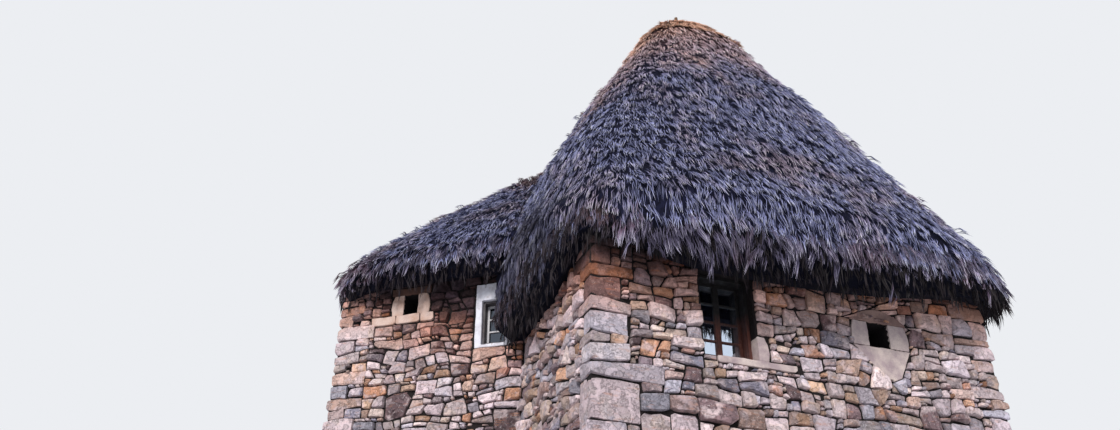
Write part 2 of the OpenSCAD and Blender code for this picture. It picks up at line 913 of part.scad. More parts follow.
// How far the eave rolls out between its lower edge and its rim
fringe_bulge = 110;
inner_crown_height = ridge_pole_height + 160;
main_inner_rings = [
    main_ring(inner_crown_height, 550, 330, 3),
    main_ring(collar_height, collar_half_x + 300, collar_half_y + 300, 5),
    main_ring((collar_height + main_wall_height) / 2, (collar_half_x + half_length + 490) / 2,
        (collar_half_y + half_depth + 490) / 2, 10),
    around_block(main_wall_height - seat_lap, -50, 28)
];
main_eave_rings = [
    around_block(main_wall_height - 2 * seat_lap, 20, 12),
    around_block(fringe_height + 40, fringe_overhang - 260, 6, 1, side_tuck * 0.7),
    around_block(fringe_height, fringe_overhang, 5, 1, side_tuck * 0.9)
];
main_edge_rings = [
    around_block((fringe_height + rim_height) / 2, (fringe_overhang + rim_overhang) / 2 + fringe_bulge,
        4.4, 0.65, side_tuck)
];
bell_rings = [for (share = bell_steps) bell_ring(share), bell_ring(cap_share)];
cap_rings = [bell_ring(cap_share, cap_lip), for (share = cap_steps) bell_ring(share)];

wing_reach_end = wing_length + 2600;
function wing_ring(height, start, half_width, squareness, end) =
    [for (i = [0:roof_sides - 1])
        let (
            p = outline((end - start) / 2, half_width, squareness, 360 * i / roof_sides),
            x = p[0] + (start + end) / 2
        )
        [x, p[1] + wing_depth / 2, height + wing_tilt(height, x)]];
wing_stations = [[0, 1], [0.12, 0.96], [0.3, 0.80], [0.5, 0.60], [0.7, 0.38], [0.85, 0.21],
    [0.95, 0.10], [1, 0]];
wing_steps = [0, 0.12, 0.3, 0.5, 0.7, 0.85, 0.95, 1];
wing_rim_overhang = 530;
wing_crown_half = 110;
wing_end_lean = [[0, -280], [0.3, -230], [0.6, -110], [0.85, 60], [1, 420]];
wing_inner_end = wing_length + 2000;
wing_inner_rings = [
    wing_ring(wing_ridge_pole_height + 170, 300, 320, 5, wing_inner_end - 500),
    wing_ring((wing_ridge_pole_height + 170 + wing_wall_height) / 2, 100, (wing_depth / 2 + 560) / 2,
        18, wing_inner_end - 200),
    wing_ring(wing_wall_height - seat_lap, 40, wing_depth / 2 - 30, 28, wing_inner_end)
];
wing_hollow_foot = wing_ring(wing_wall_height - 4 * seat_lap, 40, wing_depth / 2 - 30, 28,
    wing_inner_end);
wing_eave_rings = [
    wing_ring(wing_wall_height - 2 * seat_lap, -20, wing_depth / 2 + 20, 12, wing_reach_end - 400),
    wing_ring(wing_wall_height - 320, -110, wing_depth / 2 + 230, 7, wing_reach_end - 200),
    wing_ring(wing_wall_height - 350, -190, wing_depth / 2 + 370, 6, wing_reach_end - 100)
];
wing_outer_rings = [
    wing_ring(wing_wall_height - 230, -255, wing_depth / 2 + 470, 5.5, wing_reach_end),
    for (share = wing_steps)
        wing_ring(wing_rim_height + (wing_crown_height - wing_rim_height) * share,
            lookup(share, wing_end_lean),
            wing_crown_half
                + (wing_depth / 2 + wing_rim_overhang - wing_crown_half) * lookup(share, wing_stations),
            5.5 - 2 * share, wing_reach_end - 600 * share)
];

// Space the wing takes from the main thatch: its room, and its roof hollow above
module wing_room_space() {
    linear_extrude(wing_wall_height)
        polygon([wing_far, wing_root, wing_back_near, wing_back_far]);
}
module wing_roof_space() {
    on_wall(5)
        skin([wing_hollow_foot, for (r = [len(wing_inner_rings) - 1:-1:0]) wing_inner_rings[r]]);
}
// The main fringe is cut back so that it hangs clear of the wing window
window_clearance = 130;
wing_height_spare = 350;
module main_thatch() {
    color(broom_thatch)
        difference() {
            difference() {
                difference() {
                    difference() {
                        skin(concat(main_inner_rings, main_eave_rings, main_edge_rings, bell_rings));
                        battered_wall(0, main_wall_height);
                        battered_wall(1, main_wall_height);
                        battered_wall(2, main_wall_height);
                        battered_wall(6, main_wall_height);
                    }
                    battered_wall(3, wing_wall_height);
                    battered_wall(5, wing_wall_height);
                }
                wing_room_space();
            }
            wing_roof_space();
            on_wall(5)
                wall_block(wing_window_left - 2 * wing_band, wing_window_width + 4 * wing_band,
                    wing_window_bottom - wing_height_spare, wing_window_height + 2 * wing_height_spare,
                    window_clearance, stone_depth);
        }
}
module wing_thatch() {
    color(broom_thatch)
        difference() {
            difference() {
                on_wall(5) skin(concat(wing_inner_rings, wing_eave_rings, wing_outer_rings));
                battered_wall(3, wing_wall_height);
                battered_wall(4, wing_wall_height);
                battered_wall(5, wing_wall_height);
            }
            skin(concat([main_eave_rings[2]], main_edge_rings, bell_rings));
            skin(cap_rings);
        }
}
module ridge_cap() {
    color(bleached_thatch) skin(cap_rings);
}
peg_radius = 38;
peg_height = 150;
peg_half_spacing = 210;
module ridge_pegs() {
    color(roof_timber)
        for (side = [-1, 1])
            translate([crown_shift[0] + side * peg_half_spacing, crown_shift[1], crown_height])
                cylinder(h = peg_height, r1 = peg_radius, r2 = peg_radius * 0.8, $fn = 24);
}

front_wall();
right_side_wall();
back_wall();
wing_back_wall();
wing_end_wall();
wing_front_wall();
left_side_wall();
house_floor();
main_window_sill();
main_window_lintel();
main_window_jamb_stone();
main_window_frame();
main_window_left_casement();
main_window_right_casement();
main_window_glass();
small_window_sill();
small_window_left_jamb();
small_window_right_jamb();
small_window_head();
wing_window_surround();
wing_window_frame();
wing_window_casement();
wing_window_glass();
wing_vent_sill();
wing_vent_jambs();
wing_vent_lintel();
door_surround();
door_frame();
door_leaf();
main_wall_plates();
main_tie_beams();
main_rafters();
main_purlins();
crown_collar();
crown_struts();
main_ridge_pole();
wing_wall_plates();
wing_rafters();
wing_purlins();
wing_ridge_pole();
main_thatch();
wing_thatch();
ridge_cap();
ridge_pegs();
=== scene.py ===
"""Looks of a thatched stone mountain hut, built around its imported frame.

The walls get a skin of separate rubble stones with long and short corner stones, the dressed
stones get worn edges, and both roofs get a coat of broom locks with a ragged hanging fringe.
"""

import logging
import math
from dataclasses import dataclass, field, replace
from enum import Enum

import bmesh
import bpy
import numpy as np
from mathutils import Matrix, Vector, noise
from mathutils.bvhtree import BVHTree


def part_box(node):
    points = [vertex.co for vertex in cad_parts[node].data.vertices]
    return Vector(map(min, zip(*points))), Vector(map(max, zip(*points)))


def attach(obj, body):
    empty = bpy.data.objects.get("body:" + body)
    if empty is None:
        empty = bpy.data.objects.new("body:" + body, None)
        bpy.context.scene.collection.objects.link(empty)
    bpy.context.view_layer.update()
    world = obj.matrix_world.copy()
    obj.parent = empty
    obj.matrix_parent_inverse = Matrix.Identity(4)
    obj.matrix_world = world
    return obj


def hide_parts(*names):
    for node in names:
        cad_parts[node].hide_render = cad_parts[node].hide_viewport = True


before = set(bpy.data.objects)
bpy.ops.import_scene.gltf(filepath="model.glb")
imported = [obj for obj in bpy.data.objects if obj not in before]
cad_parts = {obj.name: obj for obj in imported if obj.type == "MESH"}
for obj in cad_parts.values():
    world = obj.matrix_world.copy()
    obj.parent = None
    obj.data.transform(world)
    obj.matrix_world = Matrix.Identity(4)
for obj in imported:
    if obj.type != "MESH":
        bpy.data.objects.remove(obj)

log = logging.getLogger("hut")

Array = np.ndarray
Random = np.random.Generator
Socket = bpy.types.NodeSocket
Material = bpy.types.Material
Object = bpy.types.Object
Flat = tuple[float, float]
Range = tuple[float, float]
Triple = tuple[float, float, float]
Quad = tuple[float, float, float, float]
Rect = Quad
Colour = Triple
Stops = tuple[tuple[float, Colour], ...]

BODY = "root"
STRAND_NUMBERS = ("strand_tip", "strand_tone")
STONE_NUMBERS = ("stone_kind", "stone_tone", "shelter")
# Blender's noise vectors follow the clock unless they are given a seed
NOISE_SEED = 7
TINY = 1e-6


def linear(red: int, green: int, blue: int) -> Colour:
    """Turns a colour written as 0 to 255 display values into Blender's linear values."""
    shares = [value / 255 for value in (red, green, blue)]
    return tuple(s / 12.92 if s <= 0.04045 else ((s + 0.055) / 1.055) ** 2.4 for s in shares)


def shades(*shown: tuple[int, int, int]) -> tuple[Colour, ...]:
    """Turns several colours written as display values into linear ones."""
    return tuple(linear(*colour) for colour in shown)


def add_object(name: str, data: bpy.types.ID) -> Object:
    """Adds an object with its mesh, light or camera to the scene."""
    made = bpy.data.objects.new(name, data)
    bpy.context.scene.collection.objects.link(made)
    return made


class NodeBoard:
    """A material's node tree, with short calls that add nodes and join them."""

    def __init__(self, name: str) -> None:
        """Starts a material of the given name that holds only a surface shader."""
        self.material = bpy.data.materials.new(name)
        self.material.use_nodes = True
        self.tree = self.material.node_tree
        self.shader = self.tree.nodes["Principled BSDF"]
        self.end = self.tree.nodes["Material Output"].inputs["Surface"]

    def put(self, socket: Socket, value: object) -> None:
        """Joins a socket to another one, or sets its value.

        Args:
            socket: The input to fill.
            value: A socket to join to, a number, a colour or a vector.
        """
        if isinstance(value, Socket):
            self.tree.links.new(value, socket)
        elif isinstance(value, tuple) and len(value) == 3 and socket.type == "RGBA":
            socket.default_value = (*value, 1.0)
        else:
            socket.default_value = value

    def node(self, kind: str, inputs: dict[object, object], **settings: object) -> bpy.types.Node:
        """Adds a node.

        Args:
            kind: Blender's name for the kind of node.
            inputs: Values or sockets for its inputs, by name or by number.
            **settings: The node's own settings.

        Returns:
            The new node.
        """
        made = self.tree.nodes.new(kind)
        for key, value in settings.items():
            setattr(made, key, value)
        for key, value in inputs.items():
            self.put(made.inputs[key], value)
        return made

    def place(self, stretch: Triple = (1, 1, 1)) -> Socket:
        """Gives the piece's own coordinates as a vector, each times its factor."""
        own = self.node("ShaderNodeTexCoord", {}).outputs["Object"]
        made = self.node("ShaderNodeVectorMath", {0: own, 1: stretch}, operation="MULTIPLY")
        return made.outputs[0]

    def axis(self, name: str, vector: Socket) -> Socket:
        """Gives one part of a vector, by the name X, Y or Z."""
        return self.node("ShaderNodeSeparateXYZ", {0: vector}).outputs[name]

    def noise(self, vector: Socket, scale: float, detail: float, roughness: float) -> Socket:
        """Adds a noise field from 0 to 1, with its waves for each metre and its finer layers."""
        made = self.node("ShaderNodeTexNoise", {"Vector": vector, "Scale": scale,
                                                "Detail": detail, "Roughness": roughness})
        return made.outputs["Fac"]

    def cells(self, vector: Socket, scale: float) -> Socket:
        """Gives the distance to the nearest of so many random points for each metre."""
        made = self.node("ShaderNodeTexVoronoi", {"Vector": vector, "Scale": scale})
        return made.outputs["Distance"]

    def attribute(self, name: str) -> Socket:
        """Reads a number that is stored on the mesh."""
        return self.node("ShaderNodeAttribute", {}, attribute_name=name).outputs["Fac"]

    def ramp(self, factor: Socket, stops: Stops) -> Socket:
        """Turns a value into a colour.

        Args:
            factor: The value.
            stops: Places from 0 to 1, each with its colour.

        Returns:
            A colour socket.
        """
        made = self.node("ShaderNodeValToRGB", {"Fac": factor})
        entries = made.color_ramp.elements
        while len(entries) < len(stops):
            entries.new(1.0)
        for entry, (place, colour) in zip(entries, stops):
            entry.position = place
            entry.color = (*colour, 1.0)
        return made.outputs["Color"]

    def span(self, value: Socket, low: float, high: float, start: float = 0.0,
             end: float = 1.0) -> Socket:
        """Spreads low to high over start to end, and holds the value beyond both ends."""
        made = self.node("ShaderNodeMapRange", {"Value": value, "From Min": low, "From Max": high,
                                                "To Min": start, "To Max": end})
        return made.outputs["Result"]

    def math(self, operation: str, *values: object) -> Socket:
        """Works out a value from one or two numbers or sockets."""
        return self.node("ShaderNodeMath", dict(enumerate(values)), operation=operation).outputs[0]

    def sum(self, first: object, second: object) -> Socket:
        """Adds two values."""
        return self.math("ADD", first, second)

    def times(self, first: object, second: object) -> Socket:
        """Multiplies two values."""
        return self.math("MULTIPLY", first, second)

    def swing(self, value: Socket, amount: float) -> Socket:
        """Turns a field from 0 to 1 into a value that swings about 0 by the amount in all."""
        return self.times(self.sum(value, -0.5), amount)

    def shares(self, *parts: tuple[Socket, float]) -> Socket:
        """Adds values, each times its share."""
        first = self.times(*parts[0])
        return self.sum(first, self.shares(*parts[1:])) if parts[1:] else first

    def mix(self, factor: object, first: object, second: object, blend: str = "MIX") -> Socket:
        """Blends two colours by the share of the second one."""
        made = self.node("ShaderNodeMix", {0: factor, 6: first, 7: second}, data_type="RGBA",
                         blend_type=blend)
        return made.outputs[2]

    def lit(self, colour: Socket, light: Socket) -> Socket:
        """Multiplies a colour by a brightness."""
        grey = self.node("ShaderNodeCombineColor", {"Red": light, "Green": light, "Blue": light})
        return self.mix(1.0, colour, grey.outputs["Color"], "MULTIPLY")

    def relief(self, height: Socket, depth: float) -> None:
        """Gives the surface a relief from 0 to 1 that is so many metres deep."""
        made = self.node("ShaderNodeBump", {"Height": height, "Distance": depth, "Strength": 1.0})
        self.put(self.shader.inputs["Normal"], made.outputs["Normal"])

    def surface(self, **inputs: object) -> Material:
        """Sets the shader's inputs, with underscores for the spaces of their names.

        Args:
            **inputs: Values or sockets.

        Returns:
            The finished material.
        """
        for key, value in inputs.items():
            self.put(self.shader.inputs[key.replace("_", " ")], value)
        return self.material


# In the finishes, a noise is (waves for each metre, finer layers, their strength), a stretch is
# a factor for each axis, and a range is (low, high, what low becomes, what high becomes).


@dataclass(frozen=True)
class RubbleFinish:
    """Rough stone that reads each stone's own kind and tone, with painted shade under the eaves.

    Attributes:
        name: Name of the material.
        kinds: Colours of the kinds of stone, along the range of stored kinds.
        stain: Colour of the iron stains.
        lichen: Colour of the pale lichen specks.
        eave_shade: Painted shade that darkens the stones, from open wall to the top under the
            eaves.
        grain: Depth of the relief in metres.
    """

    name: str
    kinds: Stops
    stain: Colour
    lichen: Colour
    eave_shade: Stops
    grain: float = 0.024

    BED_STRETCH = (5.0, 5.0, 24.0)
    BED_NOISE = (1.0, 5.0, 0.65)
    COARSE_NOISE = (7.5, 6.0, 0.66)
    FINE_NOISE = (48.0, 5.0, 0.7)
    VEIN_NOISE = (4.2, 3.0, 0.55)
    VEIN_SHIFT = (3.1, 7.7, 1.3)
    VEIN_EDGE = (0.52, 0.60, 0.0, 0.6)
    KIND_IN_VEIN = (0.3, 1.5, 0.58, 0.0)
    TONE_LIGHT = (0.0, 1.0, 0.54, 1.36)
    MOTTLE_SHARES = (0.55, 0.45)
    MOTTLE_LIGHT = (0.32, 0.68, 0.5, 1.42)
    CRACK_LIGHT = (0.0, 0.018, 0.68, 1.0)
    CRACK_DEPTH = (0.0, 0.02, -0.25, 0.0)
    STAIN_EDGE = (0.56, 0.74, 0.0, 0.6)
    LICHEN_NOISE = (19.0, 3.0, 0.5)
    LICHEN_EDGE = (0.54, 0.64)
    LICHEN_CELLS = 64.0
    LICHEN_SPECK = (0.45, 0.2)
    LICHEN_SHARE = 0.6
    EAVE_SHADE_SWING = 0.22
    RELIEF_SHARES = (0.55, 0.3, 0.35)
    ROUGHNESS = (0.3, 0.7, 0.78, 0.98)

    def material(self) -> Material:
        """Builds the material."""
        board = NodeBoard(self.name)
        place = board.place()
        kind = board.attribute("stone_kind")
        beds = board.noise(board.place(self.BED_STRETCH), *self.BED_NOISE)
        coarse = board.noise(place, *self.COARSE_NOISE)
        fine = board.noise(place, *self.FINE_NOISE)
        moved = board.node("ShaderNodeVectorMath", {0: place, 1: self.VEIN_SHIFT}, operation="ADD")
        veins = board.noise(moved.outputs[0], *self.VEIN_NOISE)
        other = board.ramp(board.span(board.sum(kind, veins), *self.KIND_IN_VEIN), self.kinds)
        colour = board.mix(board.span(veins, *self.VEIN_EDGE), board.ramp(kind, self.kinds), other)
        tone = board.span(board.attribute("stone_tone"), *self.TONE_LIGHT)
        mottle = board.shares(*zip((coarse, fine), self.MOTTLE_SHARES))
        light = board.times(tone, board.span(mottle, *self.MOTTLE_LIGHT))
        crack = board.math("ABSOLUTE", board.sum(coarse, -0.5))
        colour = board.lit(colour, board.times(light, board.span(crack, *self.CRACK_LIGHT)))
        colour = board.mix(board.span(beds, *self.STAIN_EDGE), colour, self.stain)
        specks = board.times(
            board.span(board.noise(place, *self.LICHEN_NOISE), *self.LICHEN_EDGE),
            board.span(board.cells(place, self.LICHEN_CELLS), *self.LICHEN_SPECK))
        colour = board.mix(board.times(specks, self.LICHEN_SHARE), colour, self.lichen)
        # Painted shade: toward the eaves, where their shadow falls, the stones turn warmer, then
        # near black.
        level = board.sum(board.attribute("shelter"), board.swing(coarse, self.EAVE_SHADE_SWING))
        colour = board.mix(1.0, colour, board.ramp(level, self.eave_shade), "MULTIPLY")
        relief = board.shares(*zip((coarse, fine, beds), self.RELIEF_SHARES))
        board.relief(board.sum(relief, board.span(crack, *self.CRACK_DEPTH)), self.grain)
        return board.surface(Base_Color=colour, Roughness=board.span(fine, *self.ROUGHNESS),
                             Specular_IOR_Level=0.25)


@dataclass(frozen=True)
class DressedFinish:
    """Cut stone with a fine speckle and weathered patches.

    Attributes:
        name: Name of the material.
        pale: Colour of the clean stone.
        dark: Colour of the weathered patches.
        speckle: Colour of the grains.
        grain: Depth of the relief in metres.
    """

    name: str
    pale: Colour
    dark: Colour
    speckle: Colour
    grain: float = 0.004

    PATCH_NOISE = (4.0, 6.0, 0.62)
    PATCH_EDGE = (0.40, 0.66)
    GRAIN_NOISE = (130.0, 3.0, 0.6)
    GRAIN_EDGE = (0.54, 0.66, 0.0, 0.55)
    PIT_NOISE = (30.0, 5.0, 0.7)
    RELIEF_SHARES = (0.7, 0.3)
    ROUGHNESS = (0.3, 0.7, 0.74, 0.95)

    def material(self) -> Material:
        """Builds the material."""
        board = NodeBoard(self.name)
        place = board.place()
        patches = board.noise(place, *self.PATCH_NOISE)
        grains = board.noise(place, *self.GRAIN_NOISE)
        pits = board.noise(place, *self.PIT_NOISE)
        colour = board.mix(board.span(patches, *self.PATCH_EDGE), self.pale, self.dark)
        colour = board.mix(board.span(grains, *self.GRAIN_EDGE), colour, self.speckle)
        board.relief(board.shares(*zip((pits, grains), self.RELIEF_SHARES)), self.grain)
        return board.surface(Base_Color=colour, Roughness=board.span(pits, *self.ROUGHNESS),
                             Specular_IOR_Level=0.3)


@dataclass(frozen=True)
class StrandFinish:
    """Dry broom strands, with painted shade that darkens them toward their roots.

    Attributes:
        name: Name of the material.
        root: Colour deep in the coat, a painted shade.
        body: Colour of most strands.
        warm: Colour of the brown patches.
        tip: Colour of the pale tips, partly bleached and partly a painted highlight.
        crown: Colour of the bleached strands near the top of the roof.
        tip_from: Share of a strand's length at which its pale tip starts.
        tip_tones: Tones between which the tips start to be pale and are fully so.
        wing_shade: Colour of the painted shade on the strands low down beside the wing.
        wing_shade_across: Places across between which the painted shade starts and is full.
        wing_shade_heights: Heights between which it starts and is full.
    """

    name: str
    root: Colour
    body: Colour
    warm: Colour
    tip: Colour
    crown: Colour = linear(222, 176, 154)
    tip_from: float = 0.55
    tip_tones: Range = (0.35, 0.95)
    wing_shade: Colour = linear(25, 14, 23)
    wing_shade_across: Range = (-3.1, -3.8)
    wing_shade_heights: Range = (5.6, 4.4)

    PATCH_NOISE = (0.85, 4.0, 0.6)
    PATCH_EDGE = (0.56, 0.72)
    TONE_IN_PATCH = 0.12
    FIBRE_STRETCH = (90.0, 90.0, 9.0)
    FIBRE_NOISE = (1.0, 3.0, 0.6)
    FIBRE_LIGHT = (0.3, 0.7, 0.7, 1.3)
    TONE_LIGHT = (0.0, 1.0, 0.2, 1.9)
    CROWN_LEAN = (0.35, 1.0, 1.0)
    CROWN_SWING = 3.0
    CROWN_HEIGHTS = (7.4, 9.8)
    CROWN_SHARE = 0.9
    CROWN_ROOT_SHARE = 0.35
    ROOT_EDGE = (0.10, 0.50)
    TIP_FULL = 0.95
    WING_SHADE_SWING = 1.5
    WING_SHADE_SHARE = (0.6, 0.95, 0.94, 0.62)
    RELIEF = 0.004

    def material(self) -> Material:
        """Builds the material."""
        board = NodeBoard(self.name)
        place = board.place()
        patches = board.noise(place, *self.PATCH_NOISE)
        fibres = board.noise(board.place(self.FIBRE_STRETCH), *self.FIBRE_NOISE)
        tone = board.attribute("strand_tone")
        along = board.attribute("strand_tip")
        warmth = board.sum(patches, board.times(tone, self.TONE_IN_PATCH))
        body = board.mix(board.span(warmth, *self.PATCH_EDGE), self.body, self.warm)
        leaning = board.place(self.CROWN_LEAN)
        level = board.sum(board.axis("Z", leaning), board.times(board.axis("X", leaning), -1.0))
        level = board.sum(level, board.swing(patches, self.CROWN_SWING))
        bleach = board.span(level, *self.CROWN_HEIGHTS)
        body = board.mix(board.times(bleach, self.CROWN_SHARE), body, self.crown)
        root = board.mix(board.times(bleach, self.CROWN_ROOT_SHARE), self.root, self.crown)
        body = board.lit(body, board.times(board.span(tone, *self.TONE_LIGHT),
                                           board.span(fibres, *self.FIBRE_LIGHT)))
        # Painted shade: the strands turn dark toward their roots, deep in the coat.
        colour = board.mix(board.span(along, *self.ROOT_EDGE), root, body)
        # Pale tips: partly bleaching, partly a painted highlight.
        ends = board.times(board.span(along, self.tip_from, self.TIP_FULL),
                           board.span(tone, *self.tip_tones))
        colour = board.mix(ends, colour, self.tip)
        # Painted shade: strands low on the roof's side beside the wing turn dark.
        ragged = board.swing(patches, self.WING_SHADE_SWING)
        wing_shade = board.times(
            board.span(board.sum(board.axis("X", place), ragged), *self.wing_shade_across),
            board.span(board.sum(board.axis("Z", place), ragged), *self.wing_shade_heights))
        wing_shade = board.times(wing_shade, board.span(tone, *self.WING_SHADE_SHARE))
        board.relief(fibres, self.RELIEF)
        return board.surface(Base_Color=board.mix(wing_shade, colour, self.wing_shade), Roughness=0.72,
                             Specular_IOR_Level=0.35)


@dataclass(frozen=True)
class BeddingFinish:
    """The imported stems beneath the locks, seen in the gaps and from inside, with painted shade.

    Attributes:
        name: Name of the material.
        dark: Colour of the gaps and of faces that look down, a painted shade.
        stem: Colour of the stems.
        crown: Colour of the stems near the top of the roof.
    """

    name: str
    dark: Colour
    stem: Colour
    crown: Colour

    STEM_STRETCH = (34.0, 34.0, 4.5)
    STEM_NOISE = (1.0, 5.0, 0.7)
    CLUMP_NOISE = (5.0, 4.0, 0.6)
    SHARES = (0.7, 0.3)
    GAP_EDGE = (0.42, 0.66)
    CROWN_HEIGHTS = (7.8, 9.6)
    DOWNWARD_SHADE_EDGE = (0.15, -0.3, 0.0, 0.85)
    RELIEF = 0.04

    def material(self) -> Material:
        """Builds the material."""
        board = NodeBoard(self.name)
        place = board.place()
        stems = board.noise(board.place(self.STEM_STRETCH), *self.STEM_NOISE)
        level = board.shares(*zip((stems, board.noise(place, *self.CLUMP_NOISE)), self.SHARES))
        height = board.axis("Z", place)
        stem = board.mix(board.span(height, *self.CROWN_HEIGHTS), self.stem, self.crown)
        # Painted shade: dark gaps between the stems.
        colour = board.mix(board.span(level, *self.GAP_EDGE), self.dark, stem)
        # Painted shade: faces that look down turn dark.
        upward = board.axis("Z", board.node("ShaderNodeNewGeometry", {}).outputs["Normal"])
        colour = board.mix(board.span(upward, *self.DOWNWARD_SHADE_EDGE), colour, self.dark)
        board.relief(level, self.RELIEF)
        return board.surface(Base_Color=colour, Roughness=0.95, Specular_IOR_Level=0.15)


class Grain(Enum):
    """Stretch of the pattern of wood that runs along one axis of a piece."""

    ACROSS = (2.5, 22.0, 22.0)
    UPRIGHT = (22.0, 22.0, 2.5)


@dataclass(frozen=True)
class TimberFinish:
    """Wood with long grain, checks, worn paint and painted shade above a height.

    Attributes:
        name: Name of the material.
        dark: Colour of the grain lines.
        light: Colour between the grain lines.
        worn: Colour of the bare and dusty places.
        grain: Axis of the grain.
        sheen: Roughness of the surface.
        eave_shade_from: Height at which painted shade starts to darken the wood.
        eave_shade: Colour of the painted shade.
    """

    name: str
    dark: Colour
    light: Colour
    worn: Colour
    grain: Grain = Grain.UPRIGHT
    sheen: float = 0.6
    eave_shade_from: float = 20.0
    eave_shade: Colour = linear(11, 8, 10)

    RING_NOISE = (1.6, 6.0, 0.68)
    RING_EDGE = (0.36, 0.62)
    CHECK_STRETCH = 4
    CHECK_NOISE = (1.0, 3.0, 0.6)
    WEAR_NOISE = (6.5, 5.0, 0.66)
    WEAR_EDGE = (0.56, 0.72, 0.0, 0.75)
    EAVE_SHADE_RISE = 0.3
    RELIEF_SHARES = (0.6, 0.4)
    RELIEF = 0.003
    DULL = (0.4, 0.7)
    DULLEST = 0.92

    def material(self) -> Material:
        """Builds the material."""
        board = NodeBoard(self.name)
        place = board.place()
        rings = board.noise(board.place(self.grain.value), *self.RING_NOISE)
        finer = tuple(self.CHECK_STRETCH * value for value in self.grain.value)
        checks = board.noise(board.place(finer), *self.CHECK_NOISE)
        wear = board.noise(place, *self.WEAR_NOISE)
        colour = board.mix(board.span(rings, *self.RING_EDGE), self.dark, self.light)
        colour = board.mix(board.span(wear, *self.WEAR_EDGE), colour, self.worn)
        # Painted shade: the wood turns near black above a height, where the eaves' shadow falls.
        painted_shade = board.span(board.axis("Z", place), self.eave_shade_from, self.eave_shade_from + self.EAVE_SHADE_RISE)
        board.relief(board.shares(*zip((rings, checks), self.RELIEF_SHARES)), self.RELIEF)
        return board.surface(Base_Color=board.mix(painted_shade, colour, self.eave_shade),
                             Roughness=board.span(wear, *self.DULL, self.sheen, self.DULLEST))


@dataclass(frozen=True)
class PlasterFinish:
    """Limewash laid on by brush, with dirt and thin places.

    Attributes:
        name: Name of the material.
        clean: Colour of the wash.
        dirt: Colour of the dirt.
        bare: Colour of the stone that shows through.
    """

    name: str
    clean: Colour
    dirt: Colour
    bare: Colour

    SMEAR_NOISE = (6.0, 6.0, 0.65)
    SMEAR_EDGE = (0.45, 0.68)
    STROKE_STRETCH = (60.0, 60.0, 12.0)
    STROKE_NOISE = (1.0, 3.0, 0.6)
    BARE_NOISE = (17.0, 4.0, 0.6)
    BARE_EDGE = (0.62, 0.70, 0.0, 0.8)
    RELIEF_SHARES = (0.6, 0.4)
    RELIEF = 0.006

    def material(self) -> Material:
        """Builds the material."""
        board = NodeBoard(self.name)
        place = board.place()
        smears = board.noise(place, *self.SMEAR_NOISE)
        strokes = board.noise(board.place(self.STROKE_STRETCH), *self.STROKE_NOISE)
        thin = board.span(board.noise(place, *self.BARE_NOISE), *self.BARE_EDGE)
        colour = board.mix(board.span(smears, *self.SMEAR_EDGE), self.clean, self.dirt)
        board.relief(board.shares(*zip((smears, strokes), self.RELIEF_SHARES)), self.RELIEF)
        return board.surface(Base_Color=board.mix(thin, colour, self.bare), Roughness=0.88,
                             Specular_IOR_Level=0.25)


@dataclass(frozen=True)
class PaneFinish:
    """Old window glass that mirrors the sky and lets the dark room through.

    Attributes:
        name: Name of the material.
        tint: Colour of the light that passes.
        mirror: Colour of the reflection.
        share: Share of light that is mirrored.
    """

    name: str
    tint: Colour
    mirror: Colour
    share: float

    RIPPLE_STRETCH = (1.0, 1.0, 0.4)
    RIPPLE_NOISE = (7.0, 2.0, 0.4)

    def material(self) -> Material:
        """Builds the material."""
        board = NodeBoard(self.name)
        clear = board.node("ShaderNodeBsdfTransparent", {"Color": self.tint})
        ripples = board.noise(board.place(self.RIPPLE_STRETCH), *self.RIPPLE_NOISE)
        bend = board.node("ShaderNodeBump", {"Height": ripples, "Distance": 0.002,
                                             "Strength": 0.25})
        gloss = board.node("ShaderNodeBsdfGlossy", {"Color": self.mirror, "Roughness": 0.03,
                                                    "Normal": bend.outputs["Normal"]})
        both = board.node("ShaderNodeMixShader", {0: self.share, 1: clear.outputs[0],
                                                  2: gloss.outputs[0]})
        board.tree.nodes.remove(board.shader)
        board.put(board.end, both.outputs[0])
        return board.material


RUBBLE = RubbleFinish(
    "rubble_stone",
    kinds=tuple(zip(
        (0.00, 0.16, 0.30, 0.42, 0.53, 0.65, 0.75, 0.83, 0.91, 1.00),
        shades((212, 194, 196), (196, 178, 184), (180, 176, 190), (208, 186, 174),
               (172, 146, 146), (200, 168, 146), (188, 136, 110), (146, 144, 162),
               (134, 112, 116), (98, 80, 84)))),
    stain=linear(186, 126, 88),
    lichen=linear(228, 222, 224),
    # Painted shade: from the open wall to the near-black top under the eaves.
    eave_shade=(
        (0.00, (1.0, 1.0, 1.0)), (0.30, (1.0, 0.84, 0.76)), (0.55, (0.94, 0.68, 0.56)),
        (0.69, (0.66, 0.44, 0.36)), (0.82, (0.34, 0.22, 0.19)), (0.93, (0.17, 0.11, 0.11)),
        (1.00, (0.10, 0.07, 0.08))))
JOINTS = DressedFinish("dry_joints", *shades((24, 17, 18), (14, 11, 12), (38, 28, 26)), grain=0.02)
CUT_STONE = DressedFinish("cut_stone", *shades((206, 190, 184), (164, 146, 150), (134, 120, 122)))
CREAM_STONE = DressedFinish(
    "cream_stone", *shades((208, 184, 174), (184, 148, 130), (146, 120, 112)))
BROWN_STONE = DressedFinish("brown_stone", *shades((160, 132, 124), (122, 98, 94), (90, 76, 74)))
SHADED_STONE = DressedFinish("shaded_stone", *shades((104, 76, 66), (76, 54, 48), (54, 42, 40)))
